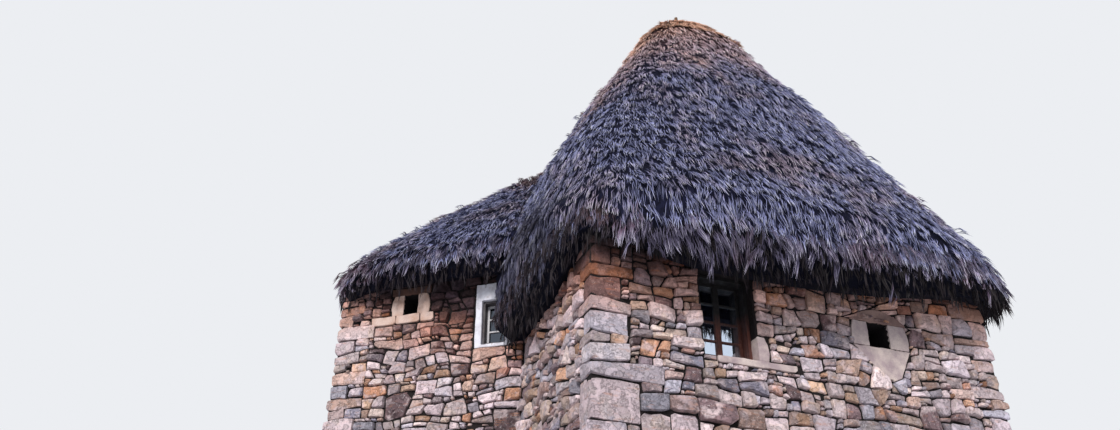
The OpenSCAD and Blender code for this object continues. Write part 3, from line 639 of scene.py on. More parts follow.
# Near-black stone that stands in for shade in deep openings.
PAINTED_SHADE_STONE = DressedFinish("painted_shade_stone", *shades((26, 20, 22), (16, 13, 15), (42, 33, 33)))
FLAGSTONE = DressedFinish(
    "flagstone", *shades((150, 142, 132), (110, 102, 96), (90, 84, 80)), grain=0.01)
IRON = DressedFinish("forged_iron", *shades((44, 40, 40), (78, 52, 40), (58, 50, 48)), grain=0.001)
LIMEWASH = PlasterFinish("limewash", *shades((222, 222, 232), (190, 186, 194), (166, 148, 138)))
BROOM = StrandFinish(
    "broom_strands",
    *shades((12, 14, 34), (118, 122, 162), (132, 118, 138), (252, 252, 255)),
    tip_from=0.5)
FRINGE = StrandFinish(
    "fringe_strands",
    *shades((7, 5, 10), (90, 84, 110), (94, 70, 84), (240, 234, 255)),
    tip_from=0.52, tip_tones=(0.36, 0.84))
SHADED_FRINGE = StrandFinish(
    "shaded_fringe_strands",
    *shades((6, 4, 8), (52, 42, 54), (66, 46, 50), (168, 162, 188)),
    tip_from=0.62)
# Heights that keep the painted shade off the wing's own coat.
NO_WING_SHADE = (-8.0, -9.0)
WING_BROOM = replace(BROOM, name="wing_broom_strands", wing_shade_heights=NO_WING_SHADE)
WING_FRINGE = replace(FRINGE, name="wing_fringe_strands", wing_shade_heights=NO_WING_SHADE)
BLEACHED = StrandFinish(
    "bleached_strands",
    *shades((70, 50, 42), (192, 150, 128), (188, 142, 112), (244, 220, 200), (202, 158, 134)))
# Near-black strands under the eaves, painted dark as shade.
SHADED_UNDERSIDE = StrandFinish(
    "shaded_underside_strands", *shades((7, 5, 9), (22, 14, 21), (28, 19, 20), (52, 42, 50)))
BEDDING = BeddingFinish("thatch_bedding", *shades((7, 8, 22), (30, 32, 60), (110, 76, 66)))
CAP_BEDDING = BeddingFinish("cap_bedding", *shades((60, 44, 38), (146, 112, 92), (146, 112, 92)))
# The window wood gets painted shade at its top, under the eaves.
WINDOW_WOOD = TimberFinish(
    "window_wood", *shades((54, 28, 24), (100, 54, 44), (124, 86, 72)), eave_shade_from=2.3)
PALE_WOOD = TimberFinish(
    "pale_window_wood", *shades((176, 174, 180), (208, 206, 210), (130, 120, 116)))
GREY_WOOD = TimberFinish("grey_window_wood", *shades((58, 54, 58), (88, 82, 86), (116, 106, 104)))
DOOR_WOOD = TimberFinish("door_wood", *shades((60, 34, 24), (104, 62, 42), (128, 98, 76)))
POLE_WOOD = TimberFinish(
    "pole_wood", *shades((62, 42, 28), (112, 80, 54), (136, 112, 86)), Grain.UPRIGHT, 0.8)
BEAM_WOOD = TimberFinish(
    "beam_wood", *shades((58, 40, 28), (104, 76, 52), (128, 106, 82)), Grain.ACROSS, 0.8)
DUSTY_PANES = PaneFinish("dusty_window_panes", *shades((90, 100, 112), (200, 212, 230)), 0.16)
PANES = PaneFinish("window_panes", *shades((150, 160, 170), (226, 238, 255)), 0.9)


@dataclass
class Draft:
    """Collects the points, triangles and stored numbers of one piece.

    Attributes:
        name: Name of the piece.
        numbers: Names of the numbers that each point stores.
    """

    name: str
    numbers: tuple[str, ...] = ()
    points: list[Array] = field(default_factory=list)
    faces: list[Array] = field(default_factory=list)
    stored: dict[str, list[Array]] = field(default_factory=dict)
    count: int = 0

    def add(self, points: Array, faces: Array, **values: Array | float) -> None:
        """Adds a closed group of triangles.

        Args:
            points: Points as rows.
            faces: Triangles as rows of point numbers within this group.
            **values: A number for each point, or one for all of them.
        """
        self.points.append(points)
        self.faces.append(faces + self.count)
        self.count += len(points)
        for key in self.numbers:
            self.stored.setdefault(key, []).append(np.broadcast_to(values[key], len(points)))

    def build(self, finish: Material, slot: str, replaced: tuple[str, ...] = ()) -> None:
        """Makes the piece and fastens it to the frame.

        Args:
            finish: The piece's material.
            slot: Not used.
            replaced: The frame's nodes that the piece stands for.
        """
        mesh = bpy.data.meshes.new(self.name)
        mesh.from_pydata(np.concatenate(self.points), [], np.concatenate(self.faces))
        for key, groups in self.stored.items():
            kept = mesh.attributes.new(key, "FLOAT", "POINT")
            kept.data.foreach_set("value", np.concatenate(groups).astype(np.float32))
        mesh.materials.append(finish)
        mesh.update()
        fasten(add_object(self.name, mesh), replaced)


def fasten(piece: Object, replaced: tuple[str, ...] = ()) -> None:
    """Fastens a finished piece to the frame.

    Args:
        piece: The piece, in place.
        replaced: The frame's nodes that it stands for.
    """
    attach(piece, BODY)
    if replaced:
        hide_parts(*replaced)
    log.info("%s: %d faces", piece.name, len(piece.data.polygons))


def node_mesh(name: str) -> bpy.types.Mesh:
    """Returns the mesh of one of the frame's nodes."""
    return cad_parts[name].data


def node_points(name: str) -> Array:
    """Returns the points of one of the frame's nodes as rows."""
    mesh = node_mesh(name)
    flat = np.empty(len(mesh.vertices) * 3)
    mesh.vertices.foreach_get("co", flat)
    return flat.reshape(-1, 3)


def dress_node(name: str, finish: Material) -> None:
    """Gives one of the frame's nodes a finish.

    Args:
        name: Name of the node.
        finish: Its material.
    """
    mesh = node_mesh(name)
    mesh.materials.clear()
    mesh.materials.append(finish)


def tube_faces(rings: int, sides: int) -> Array:
    """Triangles that join rings of points into a closed skin.

    The first ring is closed with a flat cap. After the last ring comes one point that closes the
    far end with a fan.

    Args:
        rings: Number of rings.
        sides: Points in each ring.

    Returns:
        Triangles as rows of point numbers.
    """
    around = np.arange(sides)
    after = (around + 1) % sides
    found = []
    for ring in range(rings - 1):
        low = ring * sides
        high = low + sides
        found.append(np.stack([low + around, low + after, high + after], 1))
        found.append(np.stack([low + around, high + after, high + around], 1))
    last = (rings - 1) * sides
    found.append(np.stack([last + around, last + after, np.full(sides, last + sides)], 1))
    inner = np.arange(1, sides - 1)
    found.append(np.stack([np.zeros(sides - 2, int), inner + 1, inner], 1))
    return np.concatenate(found)


class WallFace:
    """The outer face of one wall, with flat coordinates that run across it and up it."""

    FACING = 0.98
    EDGE = 0.01
    EAVES_REACH = 0.9
    SHADE_DEPTH = 1.20
    SHADE_RISE = 1.10

    def __init__(self, node: str, outward: Vector) -> None:
        """Reads the face from the frame.

        Args:
            node: The wall's node.
            outward: The level direction that the face looks to.
        """
        self.node = node
        self.outward = np.array(outward)
        self.right = np.array((-outward.y, outward.x, 0.0))
        points = node_points(node)
        facing = [polygon for polygon in node_mesh(node).polygons
                  if polygon.normal.dot(outward) > self.FACING]
        face = points[sorted({corner for polygon in facing for corner in polygon.vertices})]
        level = face[:, 2]
        self.height = float(level.max())
        self.foot = self._ends(face[level < self.EDGE])
        self.head = self._ends(face[level > self.height - self.EDGE])
        self.length = float(np.mean([(ends[1] - ends[0]) @ self.right
                                     for ends in (self.foot, self.head)]))
        self.eaves = np.full(2, self.height)

    def find_eaves(self, roofs: Array, lifts: Range) -> None:
        """Finds the height of the eaves over both ends.

        Args:
            roofs: Points of the roofs.
            lifts: Heights to add at the left and right end, where the sun reaches beneath them.
        """
        for index, end in enumerate(self.head):
            away = np.hypot(*(roofs[:, :2] - end[:2]).T)
            self.eaves[index] = roofs[away < self.EAVES_REACH, 2].min() + lifts[index]

    def shelter(self, across: Array, up: Array) -> Array:
        """Gives the share of painted shade: 0 on the open wall and 1 close under the eaves."""
        level = self.eaves[0] + (self.eaves[1] - self.eaves[0]) * np.asarray(across) / self.length
        return np.clip((np.asarray(up) - level + self.SHADE_DEPTH) / self.SHADE_RISE, 0, 1)

    def _ends(self, row: Array) -> Array:
        """Returns the left and right end of a level row of points."""
        across = row @ self.right
        return np.stack([row[across.argmin()], row[across.argmax()]])

    def place(self, across: Array, up: Array, proud: Array | float) -> Array:
        """Turns flat coordinates into points in space.

        Args:
            across: Distance from the left end.
            up: Height above the ground.
            proud: Distance out from the face.

        Returns:
            Points as rows.
        """
        side = (np.asarray(across) / self.length)[..., None]
        rise = (np.asarray(up) / self.height)[..., None]
        low = self.foot[0] + (self.foot[1] - self.foot[0]) * side
        high = self.head[0] + (self.head[1] - self.head[0]) * side
        return low + (high - low) * rise + self.outward * np.asarray(proud)[..., None]

    def flatten(self, points: Array) -> Array:
        """Turns points near the face into flat coordinates.

        Args:
            points: Points as rows.

        Returns:
            Rows of the distance across and the height.
        """
        rise = points[:, 2] / self.height
        left = self.foot[0] + np.outer(rise, self.head[0] - self.foot[0])
        right = self.foot[1] + np.outer(rise, self.head[1] - self.foot[1])
        width = (right - left) @ self.right
        across = ((points - left) @ self.right) / width * self.length
        return np.stack([across, points[:, 2]], 1)

    def rect_of(self, node: str, margin: float = 0.012) -> Rect:
        """Gives the flat rectangle that a node covers on this wall.

        Args:
            node: A node let into the wall.
            margin: Joint kept free around it.

        Returns:
            Left, right, bottom and top.
        """
        flat = self.flatten(node_points(node))
        low, high = flat.min(0) - margin, flat.max(0) + margin
        return (low[0], high[0], low[1], high[1])


@dataclass
class Quoins:
    """A stack of rough corner stones, long on one wall and short on the other in turn.

    Attributes:
        before: The wall whose right end is at the corner.
        after: The wall whose left end is at the corner.
        seed: Seed of the random sizes.
        given: Stones from the ground up as (height, arm on the first wall, arm on the second,
            kind).
        courses: Range of the heights of the other stones.
        long_reach: Range of the long arms.
        short_reach: Range of the short arms.
        proud: Range of how far the stones stand out.
        joint: Width of the joints.
        edge: Range of the radius of the edges.
        taper: Range of how much narrower the stones are at their tops.
        tilt: How uneven the beds are.
        tones: Range of the stones' tones.
        steps: Squares along each edge of a stone's mesh.
        stones: The chosen stones as (bottom, top, arm on the first wall, arm on the second).
    """

    before: WallFace
    after: WallFace
    seed: int
    given: tuple[Quad, ...] = ()
    courses: Range = (0.13, 0.30)
    long_reach: Range = (0.36, 0.66)
    short_reach: Range = (0.20, 0.34)
    proud: Range = (0.012, 0.062)
    joint: float = 0.008
    edge: Range = (0.008, 0.018)
    taper: Range = (-0.03, 0.05)
    tilt: float = 0.024
    tones: Range = (0.15, 0.85)
    steps: int = 7
    stones: list[Quad] = field(default_factory=list)

    LEAST = 0.05
    BEYOND = 1.0
    ROUGHNESS = ((0.016, 4.0), (0.008, 15.0))

    def __post_init__(self) -> None:
        """Chooses the heights and arms of the stones."""
        draw = np.random.default_rng(self.seed)
        top = min(self.before.height, self.after.height)
        bottom, turn = 0.0, bool(self.seed % 2)
        for rise, first, second, _ in self.given:
            self.stones.append((bottom, bottom + rise, first, second))
            bottom += rise
        while bottom < top - self.LEAST:
            rise = draw.uniform(*self.courses)
            if top - bottom - rise < self.courses[0]:
                rise = top - bottom
            arms = (draw.uniform(*self.long_reach), draw.uniform(*self.short_reach))
            self.stones.append((bottom, bottom + rise, *(arms if turn else arms[::-1])))
            bottom, turn = bottom + rise, not turn

    def rects_on(self, wall: WallFace) -> list[Rect]:
        """Gives the flat rectangles that the stones cover on a wall.

        Args:
            wall: One of the two walls.

        Returns:
            Rectangles as left, right, bottom and top.
        """
        if wall is self.after:
            return [(-self.BEYOND, after, bottom, top) for bottom, top, _, after in self.stones]
        return [(wall.length - before, wall.length + self.BEYOND, bottom, top)
                for bottom, top, before, _ in self.stones]

    def carve(self, draft: Draft, draw: Random) -> None:
        """Adds the corner stones to a draft.

        Args:
            draft: The draft that takes them.
            draw: Source of random numbers.
        """
        grid, faces = block_grid(self.steps)
        bed = np.zeros(4)
        kinds = [kind for *_, kind in self.given]
        kinds += list(stone_kinds(draw, len(self.stones), large=True))
        head = self.stones[-1][1]
        for (bottom, top, before, after), kind in zip(self.stones, kinds):
            lid = draw.normal(0, self.tilt, 4) if top < head - self.joint else np.zeros(4)
            high = np.array([after, before, top]) - self.joint
            low = np.array([*-draw.uniform(*self.proud, 2), bottom + self.joint])
            shares = (round_edges(grid, (high - low) / 2, draw.uniform(*self.edge)) + 1) / 2
            taper = draw.uniform(*self.taper, (1, 2))
            shares[:, :2] += (0.5 - shares[:, :2]) * taper * shares[:, 2:]
            local = low + shares * (high - low)
            x, y, z = shares.T
            weights = np.stack([(1 - x) * (1 - y), x * (1 - y), x * y, (1 - x) * y], 1)
            local[:, 2] += weights @ bed * (1 - z) + weights @ lid * z
            bed = lid
            local = chip(local, low, high, draw)
            local[:, 2] = np.minimum(local[:, 2], head)
            corner = self.after.place(np.zeros(len(local)), local[:, 2], 0.0)
            points = corner + local[:, :1] * self.after.right - local[:, 1:2] * self.before.right
            points += sum(rough_shift(points, *waves) for waves in self.ROUGHNESS)
            draft.add(points, faces, stone_kind=float(kind),
                      stone_tone=draw.uniform(*self.tones),
                      shelter=self.after.shelter(0.0, local[:, 2]))


CHIPS = 10
CHIP_DEPTH = (0.02, 0.15)
LARGEST_CHIPPED = 0.3
DARKEST_LARGE_STONE = 0.58
PALE_POWER = 1.6


def chip(local: Array, low: Array, high: Array, draw: Random) -> Array:
    """Breaks the outer edges of a corner stone along random planes.

    Args:
        local: Points of the stone, with its outer faces toward low x and low y.
        low: Lowest corner of the stone.
        high: Highest corner of the stone.
        draw: Source of random numbers.

    Returns:
        The moved points.
    """
    size = high - low
    points = local.copy()
    for _ in range(CHIPS):
        way = np.array([-draw.uniform(0.2, 1.0), -draw.uniform(0.2, 1.0), draw.uniform(-1.0, 1.0)])
        way[draw.integers(0, 2)] *= draw.choice([0.15, 1.0])
        way /= np.linalg.norm(way)
        corner = np.where(way < 0, low, high)
        depth = draw.uniform(*CHIP_DEPTH) * min(size.min(), LARGEST_CHIPPED)
        beyond = (points - corner) @ way + depth
        points -= np.maximum(beyond, 0)[:, None] * way
    return points


def stone_kinds(draw: Random, count: int, large: bool = False) -> Array:
    """Draws kinds of stone from 0 to 1, most of them pale, and none of the large ones dark."""
    kinds = draw.uniform(0.0, 1.0, count) ** PALE_POWER
    return np.clip(kinds, 0.0, DARKEST_LARGE_STONE if large else 1.0)


def block_grid(steps: int) -> tuple[Array, Array]:
    """Makes a cube from -1 to 1 whose faces are divided into squares.

    Args:
        steps: Squares along each edge.

    Returns:
        Points and triangles.
    """
    made = bmesh.new()
    bmesh.ops.create_cube(made, size=2.0)
    bmesh.ops.subdivide_edges(made, edges=made.edges[:], cuts=steps - 1, use_grid_fill=True)
    bmesh.ops.triangulate(made, faces=made.faces[:])
    points = np.array([vertex.co for vertex in made.verts])
    faces = np.array([[corner.index for corner in face.verts] for face in made.faces])
    made.free()
    return points, faces


def round_edges(grid: Array, half: Array, radius: float) -> Array:
    """Rounds the edges of a block.

    Args:
        grid: Points of a cube from -1 to 1.
        half: Half sizes of the block.
        radius: Radius of the edges in metres.

    Returns:
        Points from -1 to 1.
    """
    room = np.maximum(half - radius, half * 0.3)
    core = np.clip(grid * half, -room, room)
    away = grid * half - core
    reach = np.linalg.norm(away, axis=1, keepdims=True)
    span = np.minimum(reach, np.minimum(radius, (half - room).min()) * 1.1)
    return (core + away / np.maximum(reach, 1e-9) * span) / half


def rough_shift(points: Array, amount: float, scale: float) -> Array:
    """Gives each point a smooth shift up to an amount, in so many waves for each metre."""
    return np.array([noise.noise_vector(Vector(point) * scale) for point in points]) * amount


class Waves:
    """A smooth random warp of a flat wall pattern."""

    COUNT = 7
    LENGTHS = (0.45, 1.7)

    def __init__(self, draw: Random, amount: float) -> None:
        """Chooses the waves.

        Args:
            draw: Source of random numbers.
            amount: Height of each wave.
        """
        angles = draw.uniform(0, 2 * math.pi, self.COUNT)
        rates = 2 * math.pi / draw.uniform(*self.LENGTHS, self.COUNT)
        self.rates = np.stack([np.cos(angles), np.sin(angles)]) * rates
        self.phases = draw.uniform(0, 2 * math.pi, self.COUNT)
        self.pushes = draw.normal(0, amount, (self.COUNT, 2))

    def shift(self, flat: Array) -> Array:
        """Gives the warp at flat points."""
        return np.sin(flat @ self.rates + self.phases) @ self.pushes


def clip_ring(ring: list[Flat], across: float, up: float, limit: float) -> list[Flat]:
    """Cuts a convex outline with a straight line.

    Args:
        ring: The outline's points.
        across: Direction of the line's outer side, across the wall.
        up: Direction of the line's outer side, up the wall.
        limit: Largest product of a point with that direction.

    Returns:
        The part on the inner side.
    """
    kept: list[Flat] = []
    for index, point in enumerate(ring):
        before = ring[index - 1]
        over, over_before = (p[0] * across + p[1] * up - limit for p in (point, before))
        if (over <= 0) != (over_before <= 0):
            share = over_before / (over_before - over)
            kept.append(tuple(start + (end - start) * share for start, end in zip(before, point)))
        if over <= 0:
            kept.append(point)
    return kept


@dataclass
class RubbleWall:
    """The skin of irregular stones on one wall.

    The wall is cut into rough courses and those into stones, all along slightly sloping lines.

    Attributes:
        face: The wall's face.
        seed: Seed of the random stones.
        kept_free: Outlines of what is let into the wall, counterclockwise.
        bands: Range of the heights of the rough courses.
        blocks: Range of the widths of the groups in a course.
        stone_area: Usual area of a stone.
        area_spread: How much the areas differ, as the spread of their logarithm.
        area_limits: Smallest and largest area.
        least_size: Width and height below which a leftover isn't filled.
        stretch: Range of how many times wider than high a stone may be.
        cut_share: Range of where a block is divided.
        corner_cuts: Shares of a stone's size that its corners lose.
        corner_odds: How often each of them comes.
        joint: Width of the joints.
        proud: How far the stones stand out.
        piece: Length of the pieces that a long edge is broken into.
    """

    face: WallFace
    seed: int
    kept_free: list[Array]
    bands: Range = (0.30, 0.62)
    blocks: Range = (0.5, 1.5)
    stone_area: float = 0.064
    area_spread: float = 0.85
    area_limits: Range = (0.005, 0.17)
    least_size: Range = (0.035, 0.028)
    stretch: Range = (1.7, 4.2)
    cut_share: Range = (0.28, 0.72)
    corner_cuts: Triple = (0.05, 0.13, 0.34)
    corner_odds: Triple = (0.5, 0.32, 0.18)
    joint: float = 0.022
    proud: float = 0.056
    piece: float = 0.11

    WARP = 0.012
    CLEAR = 0.002
    LEAST_BAND = 0.16
    LEAST_BLOCK = 0.2
    LEAST_SIDE = 0.012
    LEAST_STONE = 0.022
    FREE_FROM = 0.2
    ROOT = -0.04

    def __post_init__(self) -> None:
        """Starts the random numbers and the warp."""
        self.draw = np.random.default_rng(self.seed)
        self.waves = Waves(self.draw, self.WARP)
        self.lines = [self._sides(ring) for ring in self.kept_free]

    @staticmethod
    def _sides(ring: Array) -> tuple[Array, Array]:
        """Gives the outward directions of an outline's sides and their distances."""
        sides = np.roll(ring, -1, 0) - ring
        outward = np.stack([sides[:, 1], -sides[:, 0]], 1) / np.linalg.norm(sides, axis=1)[:, None]
        return outward, (outward * ring).sum(1)

    def outlines(self) -> list[Array]:
        """Divides the wall into rough courses and those into stones.

        Returns:
            Flat outlines, counterclockwise.
        """
        found: list[Array] = []
        length, height = self.face.length, self.face.height
        low = np.zeros(2)
        while low.min() < height - self.face.EDGE:
            high = low + self.draw.uniform(*self.bands) + self.draw.normal(0, 0.04, 2)
            if high.max() > height - self.LEAST_BAND:
                high = np.full(2, height)
            rest = [(0.0, low[0]), (length, low[1]), (length, high[1]), (0.0, high[0])]
            spot = -self.draw.uniform(0.0, self.blocks[1])
            while len(rest) >= 3:
                spot += self.draw.uniform(*self.blocks)
                if spot > length - self.LEAST_BLOCK:
                    self._divide(rest, found)
                    break
                lean = self.draw.normal(0, 0.14)
                limit = spot + lean * float(low.mean() + high.mean()) / 2
                self._divide(clip_ring(rest, 1.0, lean, limit), found)
                rest = clip_ring(rest, -1.0, -lean, -limit)
            low = high
        return found

    def _divide(self, ring: list[Flat], found: list[Array]) -> None:
        """Divides an outline until its parts are single stones clear of what is let in.

        Args:
            ring: The outline to divide.
            found: List that takes the stones.
        """
        if len(ring) < 3:
            return
        points = np.array(ring)
        low, high = points.min(0), points.max(0)
        width, height = high - low
        if width < self.least_size[0] or height < self.least_size[1]:
            return
        for outward, limits in self.lines:
            depth = points @ outward.T - limits
            if depth.min(0).max() > -self.CLEAR:
                continue
            crossing = np.nonzero((depth.min(0) < -self.CLEAR) & (depth.max(0) > self.CLEAR))[0]
            if len(crossing):
                side = int(crossing[depth[:, crossing].max(0).argmax()])
                across, up = map(float, outward[side])
                limit = float(limits[side])
                self._divide(clip_ring(ring, across, up, limit), found)
                self._divide(clip_ring(ring, -across, -up, -limit), found)
            return
        area = self.stone_area * math.exp(self.draw.normal(0.0, self.area_spread))
        wanted = float(np.clip(area, *self.area_limits))
        if (0.8 * width * height <= wanted and width <= self.draw.uniform(*self.stretch) * height
                and height <= 1.1 * width):
            found.append(points)
            return
        share = self.draw.uniform(*self.cut_share)
        upright = width > self.draw.uniform(1.0, 2.4) * height
        lean = self.draw.normal(0, 0.26 if upright else 0.11)
        way = (1.0, lean) if upright else (lean, 1.0)
        spot = low + (high - low) * (np.array((share, 0.5)) if upright else np.array((0.5, share)))
        limit = float(spot @ way)
        self._divide(clip_ring(ring, *way, limit), found)
        self._divide(clip_ring(ring, -way[0], -way[1], -limit), found)

    def _break_edges(self, points: Array) -> Array | None:
        """Knocks the corners off an outline and makes its long edges uneven.

        Args:
            points: The outline.

        Returns:
            The uneven outline, or None if the stone is too small.
        """
        cut = [tuple(point) for point in points]
        true_sides = np.hypot(*(points - np.roll(points, -1, 0)).T) > 1e-4
        for outward, limit in zip(*self._sides(points[true_sides])):
            gap = self.joint * self.draw.uniform(0.3, 0.75)
            cut = clip_ring(cut, *outward, float(limit) - gap)
        ring = np.array(cut).reshape(-1, 2)
        ring = ring[np.hypot(*(ring - np.roll(ring, 1, 0)).T) > self.LEAST_SIDE]
        if len(ring) < 3 or np.ptp(ring, axis=0).min() < self.LEAST_STONE:
            return None
        least = float(np.ptp(ring, axis=0).min())
        outline = []
        for index, corner in enumerate(ring):
            for step in (-1, 1):
                end = ring[(index + step) % len(ring)]
                length = float(np.hypot(*(end - corner)))
                share = self.draw.choice(self.corner_cuts, p=self.corner_odds)
                cut_off = min(least * share, 0.4 * length)
                outline.append(corner + (end - corner) * cut_off / length)
            pieces = int(length / self.piece)
            normal = np.array([end[1] - corner[1], corner[0] - end[0]]) / length
            for part in range(1, pieces):
                outline.append(corner + (end - corner) * part / pieces
                               + normal * self.draw.uniform(-0.013, 0.003))
        flat = np.array(outline)
        return flat + self.waves.shift(flat) * self._freedom(flat)[:, None]

    def _freedom(self, flat: Array) -> Array:
        """Gives 0 beside what is let in and at the wall's edges, and 1 well away from them."""
        nearest = np.min([(flat @ outward.T - limits).max(1) for outward, limits in self.lines]
                         + [np.full(len(flat), 9.0)], axis=0)
        edge = np.minimum(np.minimum(flat[:, 0], self.face.length - flat[:, 0]),
                          np.minimum(flat[:, 1], self.face.height - flat[:, 1]))
        return np.clip(np.minimum(nearest, np.maximum(edge, 0.0)) / self.FREE_FROM, 0, 1)

    def carve(self, draft: Draft) -> int:
        """Adds the stones of this wall to a draft.

        Args:
            draft: The draft that takes them.

        Returns:
            The number of stones.
        """
        rings = [ring for ring in map(self._break_edges, self.outlines()) if ring is not None]
        for ring, kind in zip(rings, stone_kinds(self.draw, len(rings))):
            self._raise_stone(draft, ring, float(kind))
        return len(rings)

    def _raise_stone(self, draft: Draft, flat: Array, kind: float) -> None:
        """Builds one stone from its outline, with a face broken along a few planes.

        Args:
            draft: The draft that takes it.
            flat: The outline.
            kind: The kind of stone.
        """
        draw = self.draw
        sides = len(flat)
        middle = flat.mean(0)
        least = float(np.ptp(flat, axis=0).min())
        tilt = draw.normal(0, 0.09, 2)
        base = self.proud + draw.normal(0, 0.018)
        turns = draw.uniform(0, 2 * math.pi, 4)
        ways = np.stack([np.cos(turns), np.sin(turns)])
        starts = ((flat - middle) @ ways).max(0) * draw.uniform(0.2, 0.9, 4)
        slopes = draw.uniform(0.15, 0.85, 4)

        def front(points: Array) -> Array:
            """Gives how far the broken face stands out at flat points."""
            away = points - middle
            level = base + away @ tilt + np.minimum((starts - away @ ways) * slopes, 0).min(1)
            return np.maximum(level + draw.normal(0, 0.0034, len(points)), 0.008)

        lengths = np.maximum(np.hypot(*(middle - flat).T), 0.02)
        inset = flat + (middle - flat) * (min(0.010, 0.10 * least) / lengths)[:, None]
        rings = [(flat, np.full(sides, self.ROOT)), (flat, front(flat) * 0.45),
                 (inset, front(inset))]
        inner_rings = min(int(least / self.piece), 2)
        for step in range(inner_rings, 0, -1):
            share = step / (inner_rings + 1)
            inner = middle + (inset - middle) * (share + draw.uniform(-0.09, 0.09, (sides, 1)))
            rings.append((inner, front(inner)))
        spread = np.concatenate([ring for ring, _ in rings] + [middle[None]])
        depth = np.concatenate([level for _, level in rings] + [front(middle[None])])
        draft.add(self.face.place(spread[:, 0], spread[:, 1], depth),
                  tube_faces(len(rings), sides),
                  stone_kind=kind, stone_tone=float(draw.uniform(0.0, 1.0)),
                  shelter=self.face.shelter(spread[:, 0], spread[:, 1]))


def rect_ring(rect: Rect) -> Array:
    """Turns a rectangle into an outline, counterclockwise."""
    left, right, bottom, top = rect
    return np.array([(left, bottom), (right, bottom), (right, top), (left, top)])


LEAST_HULL_SIDE = 0.03


def hull(flat: Array) -> Array:
    """Finds the convex outline of flat points.

    Args:
        flat: Points as rows.

    Returns:
        The outline, counterclockwise.
    """
    rows = [tuple(row) for row in np.unique(flat.round(3), axis=0)]
    outline: list[Flat] = []
    for ordered in (rows, rows[::-1]):
        chain: list[Flat] = []
        for point in ordered:
            while len(chain) > 1 and ((chain[-1][0] - chain[-2][0]) * (point[1] - chain[-2][1])
                                      <= (chain[-1][1] - chain[-2][1]) * (point[0] - chain[-2][0])):
                chain.pop()
            chain.append(point)
        outline += chain[:-1]
    ring = np.array(outline)
    return ring[np.linalg.norm(ring - np.roll(ring, 1, 0), axis=1) > LEAST_HULL_SIDE]


@dataclass
class Masonry:
    """All the rubble walls with their corner stones.

    Attributes:
        wing_turn: Angle of the wing in degrees.
        near_stones: Stones of the near corner from the ground up, with a boulder and a long flat
            stone over it, as (height, arm on the side wall, arm on the front wall, kind).
        sunlit: How much higher the shade of the eaves ends on sunny walls, at their left and
            right end.
    """

    wing_turn: float = 54.0
    sunlit: dict[str, Range] = field(default_factory=lambda: {
        "left_side_wall": (0.75, 0.45), "wing_front_wall": (0.48, 0.42),
        "front_wall": (0.14, 0.74), "right_side_wall": (0.60, 0.30)})
    near_stones: tuple[Quad, ...] = (
        (0.24, 0.30, 0.52, 0.1), (0.28, 0.50, 0.30, 0.5), (0.20, 0.28, 0.46, 0.2),
        (0.58, 0.34, 0.64, 0.15), (0.20, 0.26, 0.98, 0.22), (0.25, 0.24, 0.52, 0.34),
        (0.15, 0.36, 0.26, 0.1), (0.29, 0.22, 0.50, 0.26), (0.22, 0.40, 0.54, 0.15),
        (0.30, 0.22, 0.42, 0.92), (0.17, 0.34, 0.60, 0.7))

    FIRST_SEED = 100
    CORNER_SEED = 77

    def __post_init__(self) -> None:
        """Reads the wall faces from the frame."""
        turn = math.radians(self.wing_turn)
        into = Vector((math.cos(turn), math.sin(turn), 0))
        along = Vector((-math.sin(turn), math.cos(turn), 0))
        directions = {
            "front_wall": Vector((0, -1, 0)),
            "right_side_wall": Vector((1, 0, 0)),
            "back_wall": Vector((0, 1, 0)),
            "wing_back_wall": into,
            "wing_end_wall": along,
            "wing_front_wall": -into,
            "left_side_wall": Vector((-1, 0, 0)),
        }
        self.faces = {node: WallFace(node, outward) for node, outward in directions.items()}
        roofs = np.concatenate([node_points("main_thatch"), node_points("wing_thatch")])
        for node, face in self.faces.items():
            face.find_eaves(roofs, self.sunlit.get(node, (0.0, 0.0)))
        corners = {
            "near": ("left_side_wall", "front_wall", 5),
            "front_right": ("front_wall", "right_side_wall", 8),
            "back_right": ("right_side_wall", "back_wall", 11),
            "wing_back": ("wing_back_wall", "wing_end_wall", 14),
            "wing_front": ("wing_end_wall", "wing_front_wall", 17),
        }
        self.corners = {
            name: Quoins(self.faces[before], self.faces[after], seed,
                         self.near_stones if name == "near" else ())
            for name, (before, after, seed) in corners.items()}

    def let_in(self, node: str) -> list[Array]:
        """Lists what other pieces cover on a wall.

        Args:
            node: The wall's node.

        Returns:
            Flat outlines.
        """
        inset = {
            "front_wall": ("main_window_frame", "main_window_sill", "main_window_lintel",
                           "main_window_jamb_stone"),
            "wing_front_wall": ("wing_window_surround", "wing_vent_sill", "wing_vent_jambs",
                                "wing_vent_lintel"),
            "right_side_wall": ("door_surround",),
        }
        face = self.faces[node]
        covered = [face.rect_of(name) for name in inset.get(node, ())]
        for corner in self.corners.values():
            if face in (corner.before, corner.after):
                covered += corner.rects_on(face)
        rings = [rect_ring(rect) for rect in covered]
        if node == "front_wall":
            parts = ("left_jamb", "right_jamb", "head", "sill")
            rings += [hull(face.flatten(node_points("small_window_" + part))) for part in parts]
            left, right = (face.rect_of("small_window_" + part) for part in parts[:2])
            rings.append(rect_ring((left[1] - 0.1, right[0] + 0.1, left[2], left[3])))
        return rings

    def build(self) -> None:
        """Builds the stones of each wall and of the corners."""
        stone = RUBBLE.material()
        joints = JOINTS.material()
        for index, (node, face) in enumerate(self.faces.items()):
            draft = Draft(node + "_stones", STONE_NUMBERS)
            count = RubbleWall(face, self.FIRST_SEED + index, self.let_in(node)).carve(draft)
            draft.build(stone, "rubble")
            dress_node(node, joints)
            log.info("%s has %d stones", node, count)
        draw = np.random.default_rng(self.CORNER_SEED)
        for name, corner in self.corners.items():
            draft = Draft(name + "_corner_stones", STONE_NUMBERS)
            corner.carve(draft, draw)
            draft.build(stone, "rubble")


